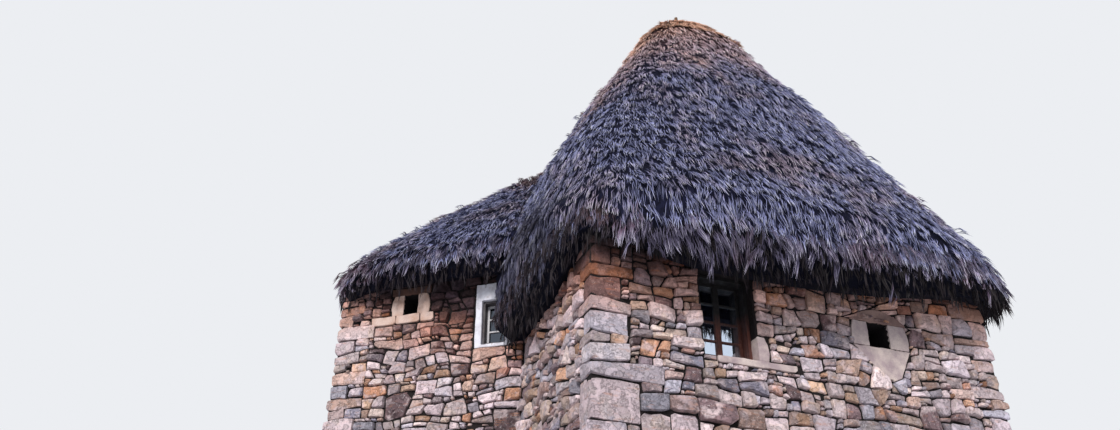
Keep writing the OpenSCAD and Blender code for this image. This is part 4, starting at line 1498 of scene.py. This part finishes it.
@dataclass
class CutStones:
    """The sills, lintels and jambs, with worn edges, a tooled face and painted shade in the
    openings.

    Attributes:
        edge: Width of the worn edges.
        wear: How uneven the faces are.
        spacing: Longest edge of the worked mesh.
        unshaded_depth: How deep the sides of an opening stay free of the painted shade.
    """

    edge: float = 0.014
    wear: float = 0.010
    spacing: float = 0.07
    unshaded_depth: float = 0.045

    MERGE = 1e-5
    FLAT_ANGLE = 0.05
    SHARP_ANGLE = 0.3
    ROUNDS = 5
    COARSE_WAVES, FINE_WAVES = 6.0, 17.0
    FINE_SHARE, HOLLOW = 0.5, 0.3
    STONES = {
        "main_window_sill": CUT_STONE,
        # The main window's lintel is painted near black as shade.
        "main_window_lintel": PAINTED_SHADE_STONE,
        "main_window_jamb_stone": CUT_STONE,
        "small_window_sill": CUT_STONE,
        "small_window_left_jamb": CUT_STONE,
        "small_window_right_jamb": CUT_STONE,
        "small_window_head": BROWN_STONE,
        "wing_vent_sill": CREAM_STONE,
        "wing_vent_jambs": CREAM_STONE,
        "wing_vent_lintel": SHADED_STONE,
        "door_surround": CUT_STONE,
    }

    def worn(self, node: str, finish: Material, slot: str,
             painted_shade: Material | None = None, outward: Array | None = None) -> None:
        """Builds a worn copy of a node in its place.

        Args:
            node: The node to stand for.
            finish: The stone's material.
            slot: Not used.
            painted_shade: Painted-shade material of the sides deep in an opening, or nothing.
            outward: The level direction that the stone's front looks to.
        """
        made = bmesh.new()
        made.from_mesh(node_mesh(node))
        bmesh.ops.remove_doubles(made, verts=made.verts[:], dist=self.MERGE)
        bmesh.ops.dissolve_limit(made, angle_limit=self.FLAT_ANGLE, verts=made.verts[:],
                                 edges=made.edges[:])
        sharp = [edge for edge in made.edges
                 if len(edge.link_faces) == 2 and edge.calc_face_angle() > self.SHARP_ANGLE]
        bmesh.ops.bevel(made, geom=sharp, offset=self.edge, segments=2, affect="EDGES",
                        profile=0.6)
        bmesh.ops.triangulate(made, faces=made.faces[:])
        for _ in range(self.ROUNDS):
            long_edges = [edge for edge in made.edges if edge.calc_length() > self.spacing]
            if not long_edges:
                break
            bmesh.ops.subdivide_edges(made, edges=long_edges, cuts=1)
            bmesh.ops.triangulate(made, faces=made.faces[:])
        made.normal_update()
        for vertex in made.verts:
            fine = self.FINE_SHARE * noise.noise(vertex.co * self.FINE_WAVES)
            lift = noise.noise(vertex.co * self.COARSE_WAVES) + fine - self.HOLLOW
            vertex.co += vertex.normal * lift * self.wear
        mesh = bpy.data.meshes.new("worn_" + node)
        made.to_mesh(mesh)
        made.free()
        mesh.materials.append(finish)
        # Painted shade: faces deep in the opening that look inward get a near-black stone.
        if painted_shade:
            mesh.materials.append(painted_shade)
            front = max(float(np.dot(vertex.co, outward)) for vertex in mesh.vertices)
            for polygon in mesh.polygons:
                deep = front - float(np.dot(polygon.center, outward)) > self.unshaded_depth
                polygon.material_index = int(deep and np.dot(polygon.normal, outward) < 0.5)
        fasten(add_object("worn_" + node, mesh), (node,))

    def build(self) -> None:
        """Builds all the cut stones."""
        made = {finish: finish.material() for finish in dict.fromkeys(self.STONES.values())}
        turn = math.radians(Masonry.wing_turn)
        fronts = {"small_window": np.array([0.0, -1.0, 0.0]),
                  "wing_vent": np.array([-math.cos(turn), -math.sin(turn), 0.0])}
        for node, finish in self.STONES.items():
            outward = next((way for start, way in fronts.items() if node.startswith(start)), None)
            painted_shade = None if outward is None else made[PAINTED_SHADE_STONE]
            self.worn(node, made[finish], "dressed_stone", painted_shade, outward)
        self.worn("wing_window_surround", LIMEWASH.material(), "whitewash")
        dress_node("house_floor", FLAGSTONE.material())


@dataclass
class Joinery:
    """The windows, the door and the roof timbers.

    Attributes:
        planks: Number of door planks.
        plank_gap: Gap between planks.
        ledge_height: Height of the ledges across the planks.
        ledge_depth: How far the ledges stand out from the planks.
        ledge_inset: How far the ledges end from the edges of the leaf.
        ledges: Heights of the ledges as shares of the leaf's height.
        hinges: Heights of the strap hinges.
        latch: Height of the latch plate.
    """

    planks: int = 6
    plank_gap: float = 0.005
    ledge_height: float = 0.13
    ledge_depth: float = 0.012
    ledge_inset: float = 0.05
    ledges: Triple = (0.12, 0.50, 0.86)
    hinges: Range = (0.12, 0.86)
    latch: float = 0.52

    LAP = 0.002
    GRID_STEPS = 3
    NODES = {
        WINDOW_WOOD: ("main_window_frame", "main_window_left_casement",
                      "main_window_right_casement"),
        GREY_WOOD: ("wing_window_frame",),
        PALE_WOOD: ("wing_window_casement",),
        PANES: ("main_window_glass",),
        DUSTY_PANES: ("wing_window_glass",),
        POLE_WOOD: ("main_rafters", "main_purlins", "crown_struts", "main_ridge_pole",
                    "wing_rafters", "wing_purlins", "wing_ridge_pole", "ridge_pegs"),
        BEAM_WOOD: ("main_wall_plates", "main_tie_beams", "crown_collar", "wing_wall_plates",
                    "door_frame"),
    }

    def _block(self, into: Draft, first: Triple, last: Triple, radius: float) -> None:
        """Adds a block with rounded edges.

        Args:
            into: The draft that takes it.
            first: Its lowest corner.
            last: Its highest corner.
            radius: Radius of its edges.
        """
        grid, faces = block_grid(self.GRID_STEPS)
        near, far = np.array(first), np.array(last)
        half = (far - near) / 2
        into.add((near + far) / 2 + round_edges(grid, half, radius) * half, faces)

    def plank_door(self) -> None:
        """Builds the door leaf from planks, ledges and strap hinges."""
        low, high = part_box("door_leaf")
        rise = high.z - low.z
        width = (high.y - low.y + self.plank_gap) / self.planks
        wood = Draft("door_planks")
        for index in range(self.planks):
            left = low.y + index * width
            right = left + width - self.plank_gap
            self._block(wood, (low.x, left, low.z), (high.x - self.ledge_depth, right, high.z),
                        0.005)
        for level in (low.z + rise * share for share in self.ledges):
            self._block(wood, (high.x - self.ledge_depth - self.LAP, low.y + self.ledge_inset,
                               level - self.ledge_height / 2),
                        (high.x, high.y - self.ledge_inset, level + self.ledge_height / 2), 0.004)
        wood.build(DOOR_WOOD.material(), "window_timber", ("door_leaf",))
        iron = Draft("door_irons")
        for level in (low.z + rise * share for share in self.hinges):
            self._block(iron, (high.x - self.LAP, low.y + 0.01, level - 0.02),
                        (high.x + 0.006, high.y - 0.25, level + 0.02), 0.002)
        level = low.z + rise * self.latch
        self._block(iron, (high.x - self.LAP, high.y - 0.14, level - 0.09),
                    (high.x + 0.012, high.y - 0.09, level + 0.09), 0.003)
        iron.build(IRON.material(), "window_timber")

    def build(self) -> None:
        """Finishes all the joinery."""
        for finish, nodes in self.NODES.items():
            material = finish.material()
            for node in nodes:
                dress_node(node, material)
        self.plank_door()


@dataclass(frozen=True)
class Lock:
    """Shape of one lock of broom.

    Attributes:
        strands: Number of strands.
        length: Usual length.
        width: Width at the root.
        lift: How far the tip stands off the roof.
        thick: Range of the strands' radius.
        gather: How close the strands run at the tip, from 0 for together to 1 for side by side.
        sway: How far the locks lean to either side.
    """

    strands: int
    length: float
    width: float
    lift: float
    thick: tuple[float, float]
    gather: float
    sway: float


class Coat(Enum):
    """The kinds of lock that cover the roofs."""

    ROOF = Lock(6, 0.28, 0.100, 0.038, (0.0048, 0.0082), 0.85, 0.15)
    FRINGE = Lock(7, 0.40, 0.100, 0.060, (0.0046, 0.0082), 0.45, 0.12)
    CAP = Lock(6, 0.24, 0.080, 0.014, (0.0060, 0.0100), 0.9, 0.25)
    UNDER = Lock(4, 0.24, 0.080, 0.020, (0.0070, 0.0110), 0.7, 0.12)


@dataclass
class Sites:
    """Places where locks are rooted: points with their outward and downhill directions."""

    points: Array
    normals: Array
    downs: Array

    def pick(self, mask: Array) -> "Sites":
        """Keeps only the places where the mask is true."""
        return Sites(self.points[mask], self.normals[mask], self.downs[mask])


class RoofSurface:
    """The skin of the roof solids, searched for places to root locks."""

    OVERHANG = -0.1
    SKY_TILT = 0.6
    OFF_SKIN = 0.012
    FAR = 12.0
    TRIES = 2.2

    def __init__(self, blockers: tuple[str, ...]) -> None:
        """Builds the search tree.

        Args:
            blockers: Nodes that a ray from an outer place must not meet.
        """
        corners: list[Vector] = []
        triangles: list[tuple[int, int, int]] = []
        for node in blockers:
            mesh = node_mesh(node)
            start = len(corners)
            corners += [vertex.co.copy() for vertex in mesh.vertices]
            triangles += [tuple(start + index for index in polygon.vertices)
                          for polygon in mesh.polygons]
        self.tree = BVHTree.FromPolygons(corners, triangles)

    def is_outside(self, point: Vector, normal: Vector) -> bool:
        """Tells whether a place looks out into the open air.

        Args:
            point: A point on a roof's skin.
            normal: The skin's outward direction there.

        Returns:
            True if nothing is met above it.
        """
        lift = self.SKY_TILT if normal.z > self.OVERHANG else 0.0
        tilt = Vector((normal.x, normal.y, normal.z + lift)).normalized()
        start = point + normal * self.OFF_SKIN
        return all(self.tree.ray_cast(start, way, self.FAR)[0] is None for way in (normal, tilt))

    def sites(self, node: str, spacing: float, seed: int, turn: float = 0.0,
              pull: float = 0.0) -> Sites:
        """Spreads places over the outer skin of a node, no two nearer than the spacing.

        Args:
            node: The roof's node.
            spacing: Least distance between places.
            seed: Seed of the random places.
            turn: Heading of the roof's long side in degrees.
            pull: How far the left side is combed toward the front.

        Returns:
            The places.
        """
        draw = np.random.default_rng(seed)
        points = node_points(node)
        triangles = np.array([polygon.vertices[:] for polygon in node_mesh(node).polygons])
        first, second, third = (points[triangles[:, index]] for index in range(3))
        cross = np.cross(second - first, third - first)
        areas = np.linalg.norm(cross, axis=1) / 2
        normals = cross / np.maximum(2 * areas, 1e-12)[:, None]
        count = int(areas.sum() / spacing ** 2 * self.TRIES)
        chosen = draw.choice(len(areas), count, p=areas / areas.sum())
        shares = draw.uniform(0, 1, (count, 2))
        folded = shares.sum(1) > 1
        shares[folded] = 1 - shares[folded]
        spots = (first[chosen] + shares[:, :1] * (second - first)[chosen]
                 + shares[:, 1:] * (third - first)[chosen])
        facing = normals[chosen]
        taken: dict[tuple[int, int, int], list[Array]] = {}
        kept: list[int] = []
        for index, spot in enumerate(spots):
            cell = tuple(int(value) for value in np.floor(spot / spacing))
            near = [other for x in (-1, 0, 1) for y in (-1, 0, 1) for z in (-1, 0, 1)
                    for other in taken.get((cell[0] + x, cell[1] + y, cell[2] + z), ())]
            if any(np.dot(spot - other, spot - other) < spacing ** 2 for other in near):
                continue
            taken.setdefault(cell, []).append(spot)
            kept.append(index)
        open_air = [index for index in kept
                    if self.is_outside(Vector(spots[index]), Vector(facing[index]))]
        spots, facing = spots[open_air], facing[open_air]
        return Sites(spots, facing, downhill(facing, turn, pull))


HIP_POWER = 2.4
OVERHANGING = 0.12
FULL_PULL = 0.5


def downhill(facing: Array, turn: float, pull: float) -> Array:
    """Gives the direction in which the thatch is combed on each side of a roof.

    The locks of one side lie almost parallel, and turn only near the hips.

    Args:
        facing: Outward directions of the skin.
        turn: Heading of the roof's long side in degrees.
        pull: How far the left side is combed toward the front.

    Returns:
        Directions that lie in the skin.
    """
    angle = math.radians(turn)
    axes = np.array([[math.cos(angle), -math.sin(angle)], [math.sin(angle), math.cos(angle)]])
    level = facing[:, :2] @ axes
    level /= np.maximum(np.linalg.norm(level, axis=1), TINY)[:, None]
    square = np.sign(level) * np.abs(level) ** HIP_POWER
    square /= np.maximum(np.linalg.norm(square, axis=1), TINY)[:, None]
    square = square @ axes.T
    share = np.clip((FULL_PULL - facing[:, 1]) / FULL_PULL, 0, 1)
    square[:, 1] -= pull * np.maximum(-square[:, 0], 0) * share
    drop = (facing[:, :2] * square).sum(1) / np.maximum(facing[:, 2], 0.1)
    combed = np.column_stack([square, -drop])
    wish = np.array([0.0, 0.0, -1.0])
    steep = wish - facing * (facing @ wish)[:, None]
    downs = np.where((facing[:, 2] > OVERHANGING)[:, None], combed, steep)
    return downs / np.maximum(np.linalg.norm(downs, axis=1), TINY)[:, None]


NEEDLE = np.array([(1, 2, 4), (2, 3, 4), (3, 1, 4), (2, 1, 0), (3, 2, 0), (1, 3, 0)])
NEEDLE_POINTS = 5
BEND = 0.45
ROOT_DEPTH = 0.02


def grow(sites: Sites, coat: Coat, draft: Draft, draw: Random, room: tuple[Array, Array],
         reach: Array | None = None, lean: Array | float = 0.0,
         shade: Array | float = 0.0) -> None:
    """Grows one lock of strands at each place.

    Each strand is a thin needle that is bent in its middle.

    Args:
        sites: Where the locks are rooted.
        coat: The kind of lock.
        draft: The draft that takes the strands.
        draw: Source of random numbers.
        room: Lowest and highest corner of the space that the tips stay in.
        reach: Length of each lock, or nothing for the usual lengths.
        lean: How far each lock leans to a side with its whole tuft.
        shade: What the tuft adds to the tone of each lock.
    """
    lock = coat.value
    count = len(sites.points)
    if not count:
        return
    tones = draw.beta(1.7, 1.9, count)
    if reach is None:
        reach = lock.length * draw.uniform(0.6, 1.35, count)
    sway = draw.normal(0, lock.sway, count) + lean
    lifts = lock.lift * draw.gamma(3.0, 1 / 3.0, count)
    across = np.cross(sites.normals, sites.downs)
    tips = (sites.points + sites.downs * reach[:, None] + across * (sway * reach)[:, None]
            + sites.normals * lifts[:, None])
    every = (NEEDLE[None] + (np.arange(count) * NEEDLE_POINTS)[:, None, None]).reshape(-1, 3)
    along = np.tile([0.0, BEND, BEND, BEND, 1.0], count)
    for _ in range(lock.strands):
        side = draw.uniform(-0.5, 0.5, count) * lock.width
        thick = draw.uniform(*lock.thick, count)
        roots = (sites.points + across * side[:, None] - sites.normals * ROOT_DEPTH
                 + sites.downs * draw.uniform(-0.10, 0.07, count)[:, None])
        ends = (tips + across * (side * lock.gather + draw.normal(0, 0.016, count))[:, None]
                + sites.downs * (draw.uniform(-0.30, 0.07, count) * reach)[:, None]
                + sites.normals * draw.normal(0, 0.010, count)[:, None])
        ends = np.clip(ends, *room)
        middle = (roots + (ends - roots) * BEND + sites.normals * (0.010 + lifts * 0.4)[:, None]
                  + across * (draw.normal(0, 0.06, count) * reach)[:, None])
        turns = draw.uniform(0, 2 * math.pi, count) + (2 * math.pi * np.arange(3) / 3)[:, None]
        ring = [middle + (across * np.cos(turn)[:, None] + sites.normals * np.sin(turn)[:, None])
                * thick[:, None] for turn in turns]
        points = np.stack([roots, *ring, ends], 1)
        tone = tones * 0.5 + draw.beta(1.5, 1.7, count) * 0.5 + draw.normal(0, 0.08, count)
        draft.add(points.reshape(-1, 3), every, strand_tip=along,
                  strand_tone=np.repeat(np.clip(tone + shade, 0, 1), NEEDLE_POINTS))


class Side(Enum):
    """The four sides of the main roof, by the heading of their middle in degrees."""

    RIGHT = 0
    BACK = 90
    LEFT = 180
    FRONT = 270

    def holds(self, points: Array) -> Array:
        """Tells which points lie within 45 degrees of this side's middle."""
        heading = np.degrees(np.arctan2(points[:, 1], points[:, 0]))
        away = (heading - self.value + 180) % 360 - 180
        return (away >= -45) & (away < 45)


@dataclass
class Eave:
    """The height of a roof's lower edge around its middle.

    Attributes:
        middle: The point that headings are taken from.
        levels: Height of the edge for each step of heading.
    """

    middle: Array
    levels: Array

    @classmethod
    def of(cls, edge: Sites, steps: int = 90) -> "Eave":
        """Reads the lower edge from places on the roof's skin.

        Args:
            edge: The places.
            steps: Number of steps around the roof.

        Returns:
            The edge.
        """
        made = cls(edge.points.mean(0), np.full(steps, edge.points[:, 2].min()))
        sector = made.sector(edge.points)
        for index in range(steps):
            if (sector == index).any():
                made.levels[index] = edge.points[sector == index, 2].min()
        return made

    def sector(self, points: Array, steps: int | None = None) -> Array:
        """Gives the step of heading that each point lies in.

        Args:
            points: Points as rows.
            steps: Number of steps around the roof, or nothing for those of the edge.

        Returns:
            A number for each point.
        """
        steps = steps or len(self.levels)
        heading = np.arctan2(points[:, 1] - self.middle[1], points[:, 0] - self.middle[0])
        return ((heading + math.pi) / (2 * math.pi) * steps).astype(int) % steps

    def above(self, points: Array) -> Array:
        """Gives the height of each point above the edge beneath it."""
        return points[:, 2] - self.levels[self.sector(points)]


@dataclass
class Thatch:
    """The coat of broom locks on both roofs and on the ridge.

    Attributes:
        spacing: Distance between locks on the roofs.
        fringe_spacing: Distance between locks in the hanging fringe.
        fringe_band: Heights above the lower edge between which the fringe is rooted.
        tip_level: Height above the lower edge at which the fringe mostly ends.
        front_tips: The same on the front of the main roof, as (place across, height).
        left_tips: The same on its left side, as (place along, height).
        longest: Length of the longest locks of the fringe.
        bare_spots: Places on the main roof that have lost their locks.
        bare_size: Half width and length of such a place.
        tuft_count: Number of tufts around a roof that the fringe gathers in.
        left_pull: How far the left side of the main roof is combed toward the front.
        cap_spacing: Distance between locks on the ridge.
        margin: How far strands may stand out of the frame's box.
    """

    spacing: float = 0.072
    fringe_spacing: float = 0.068
    fringe_band: Range = (0.14, 0.66)
    tip_level: float = 0.14
    front_tips: tuple[Flat, ...] = (
        (-3.3, -0.16), (-2.7, -0.34), (-1.4, -0.12), (0.0, 0.14), (1.9, 0.22), (3.2, 0.12))
    left_tips: tuple[Flat, ...] = ((-3.3, -0.20), (-2.5, 0.06), (-1.6, 0.30))
    longest: float = 0.85
    bare_spots: tuple[Triple, ...] = (
        (-2.60, -2.93, 3.90), (-2.42, -3.22, 3.55), (-3.36, -2.18, 4.06))
    bare_size: Range = (0.12, 0.34)
    tuft_count: int = 220
    left_pull: float = 0.9
    cap_spacing: float = 0.05
    margin: Triple = (0.22, 0.22, 0.05)

    TOP_SLOPE = -0.05
    TOP_ABOVE = 0.15
    FRINGE_SLOPE = -0.35
    UNDER_SLOPE = -0.20
    UNDER_ABOVE = 0.08
    UNDER_REACH = (0.08, 0.34)
    LOCK_REACH = (0.26, 0.46)
    LEAST_DROP = 0.12
    STRAGGLERS = 0.25
    BELOW_BARE = 0.05
    CAP_SEED = 901
    BLOCKERS = ("main_thatch", "wing_thatch", "ridge_cap", "house_floor", "front_wall",
                "left_side_wall", "wing_front_wall", "wing_end_wall", "wing_back_wall",
                "back_wall", "right_side_wall")

    def __post_init__(self) -> None:
        """Prepares the search of the roofs' skin."""
        self.surface = RoofSurface(self.BLOCKERS)
        boxes = np.array([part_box(node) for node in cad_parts])
        self.room = (boxes[:, 0].min(0) - self.margin, boxes[:, 1].max(0) + self.margin)

    def coat_roof(self, node: str, prefix: str, seed: int, sides: dict[str, Side | None],
                  turn: float = 0.0, pull: float = 0.0) -> None:
        """Coats one roof with locks, its fringe and the strands of its underside.

        Args:
            node: The roof's node.
            prefix: Start of the pieces' names.
            seed: Seed of the random locks.
            sides: The pieces to divide the coat into, each with its side of the roof.
            turn: Heading of the roof's long side in degrees.
            pull: How far the left side is combed toward the front.
        """
        draw = np.random.default_rng(seed)
        coats = (BROOM, FRINGE) if node == "main_thatch" else (WING_BROOM, WING_FRINGE)
        finishes = (*coats, SHADED_FRINGE, SHADED_UNDERSIDE)
        broom, lit, shady, under = (finish.material() for finish in finishes)
        top = self.surface.sites(node, self.spacing, seed + 1, turn, pull)
        edge = self.surface.sites(node, self.fringe_spacing, seed + 2, turn, pull)
        eave = Eave.of(edge)
        low, high = self.fringe_band
        on_top = (top.normals[:, 2] > self.TOP_SLOPE) & ~self.is_bare(top)
        on_top &= eave.above(top.points) > low + self.TOP_ABOVE
        height = eave.above(edge.points)
        hanging = (edge.normals[:, 2] > self.FRINGE_SLOPE) & (height > low) & (height < high)
        for name, side in sides.items():
            chosen = side.holds(top.points) if side else np.ones(len(top.points), bool)
            draft = Draft(f"{prefix}_locks_{name}", STRAND_NUMBERS)
            grow(top.pick(on_top & chosen), Coat.ROOF, draft, draw, self.room)
            draft.build(broom, "broom_thatch")
            chosen = hanging & (side.holds(edge.points) if side else True)
            tuft = eave.sector(edge.points[chosen], self.tuft_count)
            draft = Draft(f"{prefix}_fringe_{name}", STRAND_NUMBERS)
            self.hang(edge.pick(chosen), height[chosen], tuft, side, draft, draw)
            draft.build(shady if side is Side.LEFT else lit, "broom_thatch")
        # The strands beneath the eaves get painted shade.
        draft = Draft(f"{prefix}_underside", STRAND_NUMBERS)
        shaded = edge.pick((edge.normals[:, 2] <= self.UNDER_SLOPE)
                           | (height <= low + self.UNDER_ABOVE))
        count = len(shaded.points)
        shaded.downs = np.tile([0.0, 0.0, -1.0], (count, 1))
        turns = draw.uniform(0, 2 * math.pi, count)
        shaded.normals = np.stack([np.cos(turns), np.sin(turns), 0 * turns], 1)
        reach = draw.uniform(*self.UNDER_REACH, count)
        grow(shaded, Coat.UNDER, draft, draw, self.room, reach)
        draft.build(under, "broom_thatch")
        dress_node(node, BEDDING.material())

    def hang(self, layer: Sites, height: Array, tuft: Array, side: Side | None, draft: Draft,
             draw: Random) -> None:
        """Grows the fringe of one side from short locks in layers, gathered in tufts.

        Args:
            layer: Where the locks are rooted. Its points are moved down to their layers.
            height: Height of each place above the lower edge.
            tuft: Number of the tuft that each lock belongs to.
            side: The side of the main roof, or nothing for the wing's whole fringe.
            draft: The draft that takes the strands.
            draw: Source of random numbers.
        """
        count = len(height)
        listed = {Side.FRONT: self.front_tips, Side.LEFT: self.left_tips}
        tips = np.array(listed.get(side, ((0.0, self.tip_level),)))
        level = np.interp(layer.points[:, int(side is Side.LEFT)], *tips.T)
        drop = (height - level) * draw.uniform(0.80, 1.20, count)
        drop *= draw.uniform(0.82, 1.18, self.tuft_count)[tuft]
        lean = draw.normal(0, 0.12, self.tuft_count)[tuft]
        shade = draw.uniform(-0.26, 0.16, self.tuft_count)[tuft]
        longer = 0.12 * draw.exponential(1.0, count)
        drop += longer * (draw.uniform(0, 1, count) < self.STRAGGLERS)
        drop = np.clip(drop, self.LEAST_DROP, self.longest)
        reach = np.minimum(drop, draw.uniform(*self.LOCK_REACH, count))
        way = layer.downs * 0.5 - (0.0, 0.0, 0.5)
        layer.points += way * ((drop - reach) * draw.uniform(0.1, 1.1, count))[:, None]
        grow(layer, Coat.FRINGE, draft, draw, self.room, reach, lean, shade)

    def is_bare(self, sites: Sites) -> Array:
        """Tells which places lie where the locks are lost, or uphill within reach of it."""
        bare = np.zeros(len(sites.points), bool)
        for spot in self.bare_spots:
            away = sites.points - spot
            along = (away * sites.downs).sum(1)
            aside = np.linalg.norm(away - sites.downs * along[:, None], axis=1)
            bare |= ((aside < self.bare_size[0]) & (along > -self.bare_size[1])
                     & (along < self.BELOW_BARE))
        return bare

    def cap_ridge(self) -> None:
        """Coats the ridge with bleached locks."""
        draw = np.random.default_rng(self.CAP_SEED)
        sites = self.surface.sites("ridge_cap", self.cap_spacing, self.CAP_SEED + 1)
        draft = Draft("ridge_cap_locks", STRAND_NUMBERS)
        grow(sites, Coat.CAP, draft, draw, self.room)
        draft.build(BLEACHED.material(), "bleached_thatch")
        dress_node("ridge_cap", CAP_BEDDING.material())

    def build(self) -> None:
        """Coats both roofs and the ridge."""
        self.coat_roof("main_thatch", "main_roof", 300, {
            "front": Side.FRONT, "right": Side.RIGHT, "back": Side.BACK, "left": Side.LEFT},
            pull=self.left_pull)
        self.coat_roof("wing_thatch", "wing_roof", 500, {"all": None}, Masonry.wing_turn)
        self.cap_ridge()


@dataclass
class Studio:
    """The pale floor, the soft lights and the camera.

    Attributes:
        eye: Place of the camera.
        heading: Camera's heading, clockwise from the back direction, in degrees.
        pitch: Camera's upward tilt in degrees.
        lens_pixels: Focal length in pixels of the picture.
        shift_pixels: How far the camera's axis lies below the middle of the picture.
        picture_width: Width of the picture in pixels.
        floor_radius: Radius of the floor.
        backdrop: Colour of the floor and of what lies behind it.
        sky: Colour of the light from all around.
        sky_strength: How strong it is.
        sun: Colour of the key light.
        sun_strength: How strong it is.
        sun_angle: How broad it is, in degrees.
        sun_turn: Tilt and heading of the key light in degrees.
    """

    eye: Triple = (-7.39, -12.865, -3.093)
    heading: float = 20.23
    pitch: float = 28.696
    lens_pixels: float = 968.7
    shift_pixels: float = 40.0
    picture_width: float = 1120.0
    floor_radius: float = 60.0
    backdrop: Colour = linear(236, 238, 242)
    sky: Colour = (0.85, 0.90, 1.0)
    sky_strength: float = 0.48
    sun: Colour = (1.0, 0.97, 0.93)
    sun_strength: float = 3.0
    sun_angle: float = 14.0
    sun_turn: Range = (58.0, -36.0)

    SENSOR = 36.0
    BELOW_GROUND = -0.002

    def make_camera(self) -> None:
        """Sets the camera at the viewing angle of the photograph."""
        data = bpy.data.cameras.new("camera")
        data.sensor_width = self.SENSOR
        data.lens = self.lens_pixels * data.sensor_width / self.picture_width
        data.shift_y = self.shift_pixels / self.picture_width
        camera = add_object("camera", data)
        camera.location = self.eye
        camera.rotation_euler = (math.radians(90 + self.pitch), 0, -math.radians(self.heading))
        bpy.context.scene.camera = camera

    def make_floor(self) -> None:
        """Lays the floor, which is clear from below because the camera stands lower than it."""
        made = bmesh.new()
        bmesh.ops.create_circle(made, cap_ends=True, radius=self.floor_radius, segments=96)
        mesh = bpy.data.meshes.new("floor")
        made.to_mesh(mesh)
        made.free()
        floor = add_object("floor", mesh)
        floor.location.z = self.BELOW_GROUND
        board = NodeBoard("floor")
        board.surface(Base_Color=self.backdrop, Roughness=0.9, Specular_IOR_Level=0.1)
        clear = board.node("ShaderNodeBsdfTransparent", {})
        below = board.node("ShaderNodeNewGeometry", {}).outputs["Backfacing"]
        both = board.node("ShaderNodeMixShader", {0: below, 1: board.shader.outputs[0],
                                                  2: clear.outputs[0]})
        board.put(board.end, both.outputs[0])
        mesh.materials.append(board.material)

    def make_lights(self) -> None:
        """Sets a pale world, which the camera sees plain, and one broad key light."""
        world = bpy.data.worlds.new("studio")
        world.use_nodes = True
        tree = world.node_tree
        light = tree.nodes["Background"]
        light.inputs["Color"].default_value = (*self.sky, 1.0)
        light.inputs["Strength"].default_value = self.sky_strength
        seen = tree.nodes.new("ShaderNodeBackground")
        seen.inputs["Color"].default_value = (*self.backdrop, 1.0)
        seen.inputs["Strength"].default_value = 1.0
        rays = tree.nodes.new("ShaderNodeLightPath").outputs
        is_seen = rays["Is Camera Ray"]
        for kind in ("Is Glossy Ray", "Is Transmission Ray"):
            either = tree.nodes.new("ShaderNodeMath")
            either.operation = "MAXIMUM"
            tree.links.new(is_seen, either.inputs[0])
            tree.links.new(rays[kind], either.inputs[1])
            is_seen = either.outputs[0]
        mix = tree.nodes.new("ShaderNodeMixShader")
        for index, source in enumerate((is_seen, light.outputs[0], seen.outputs[0])):
            tree.links.new(source, mix.inputs[index])
        tree.links.new(mix.outputs[0], tree.nodes["World Output"].inputs["Surface"])
        bpy.context.scene.world = world
        data = bpy.data.lights.new("key", "SUN")
        data.energy = self.sun_strength
        data.angle = math.radians(self.sun_angle)
        data.color = self.sun
        tilt, heading = map(math.radians, self.sun_turn)
        add_object("key", data).rotation_euler = (tilt, 0, heading)

    def build(self) -> None:
        """Sets up the whole studio."""
        self.make_camera()
        self.make_floor()
        self.make_lights()
        bpy.context.scene.view_settings.view_transform = "Standard"


def main() -> None:
    """Builds every part of the looks in order."""
    logging.basicConfig(level=logging.INFO, format="%(name)s: %(message)s")
    noise.seed_set(NOISE_SEED)
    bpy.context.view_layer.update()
    Studio().build()
    for maker in (Masonry(), CutStones(), Joinery(), Thatch()):
        maker.build()
        log.info("%s done", type(maker).__name__)


if __name__ == "__main__":
    main()
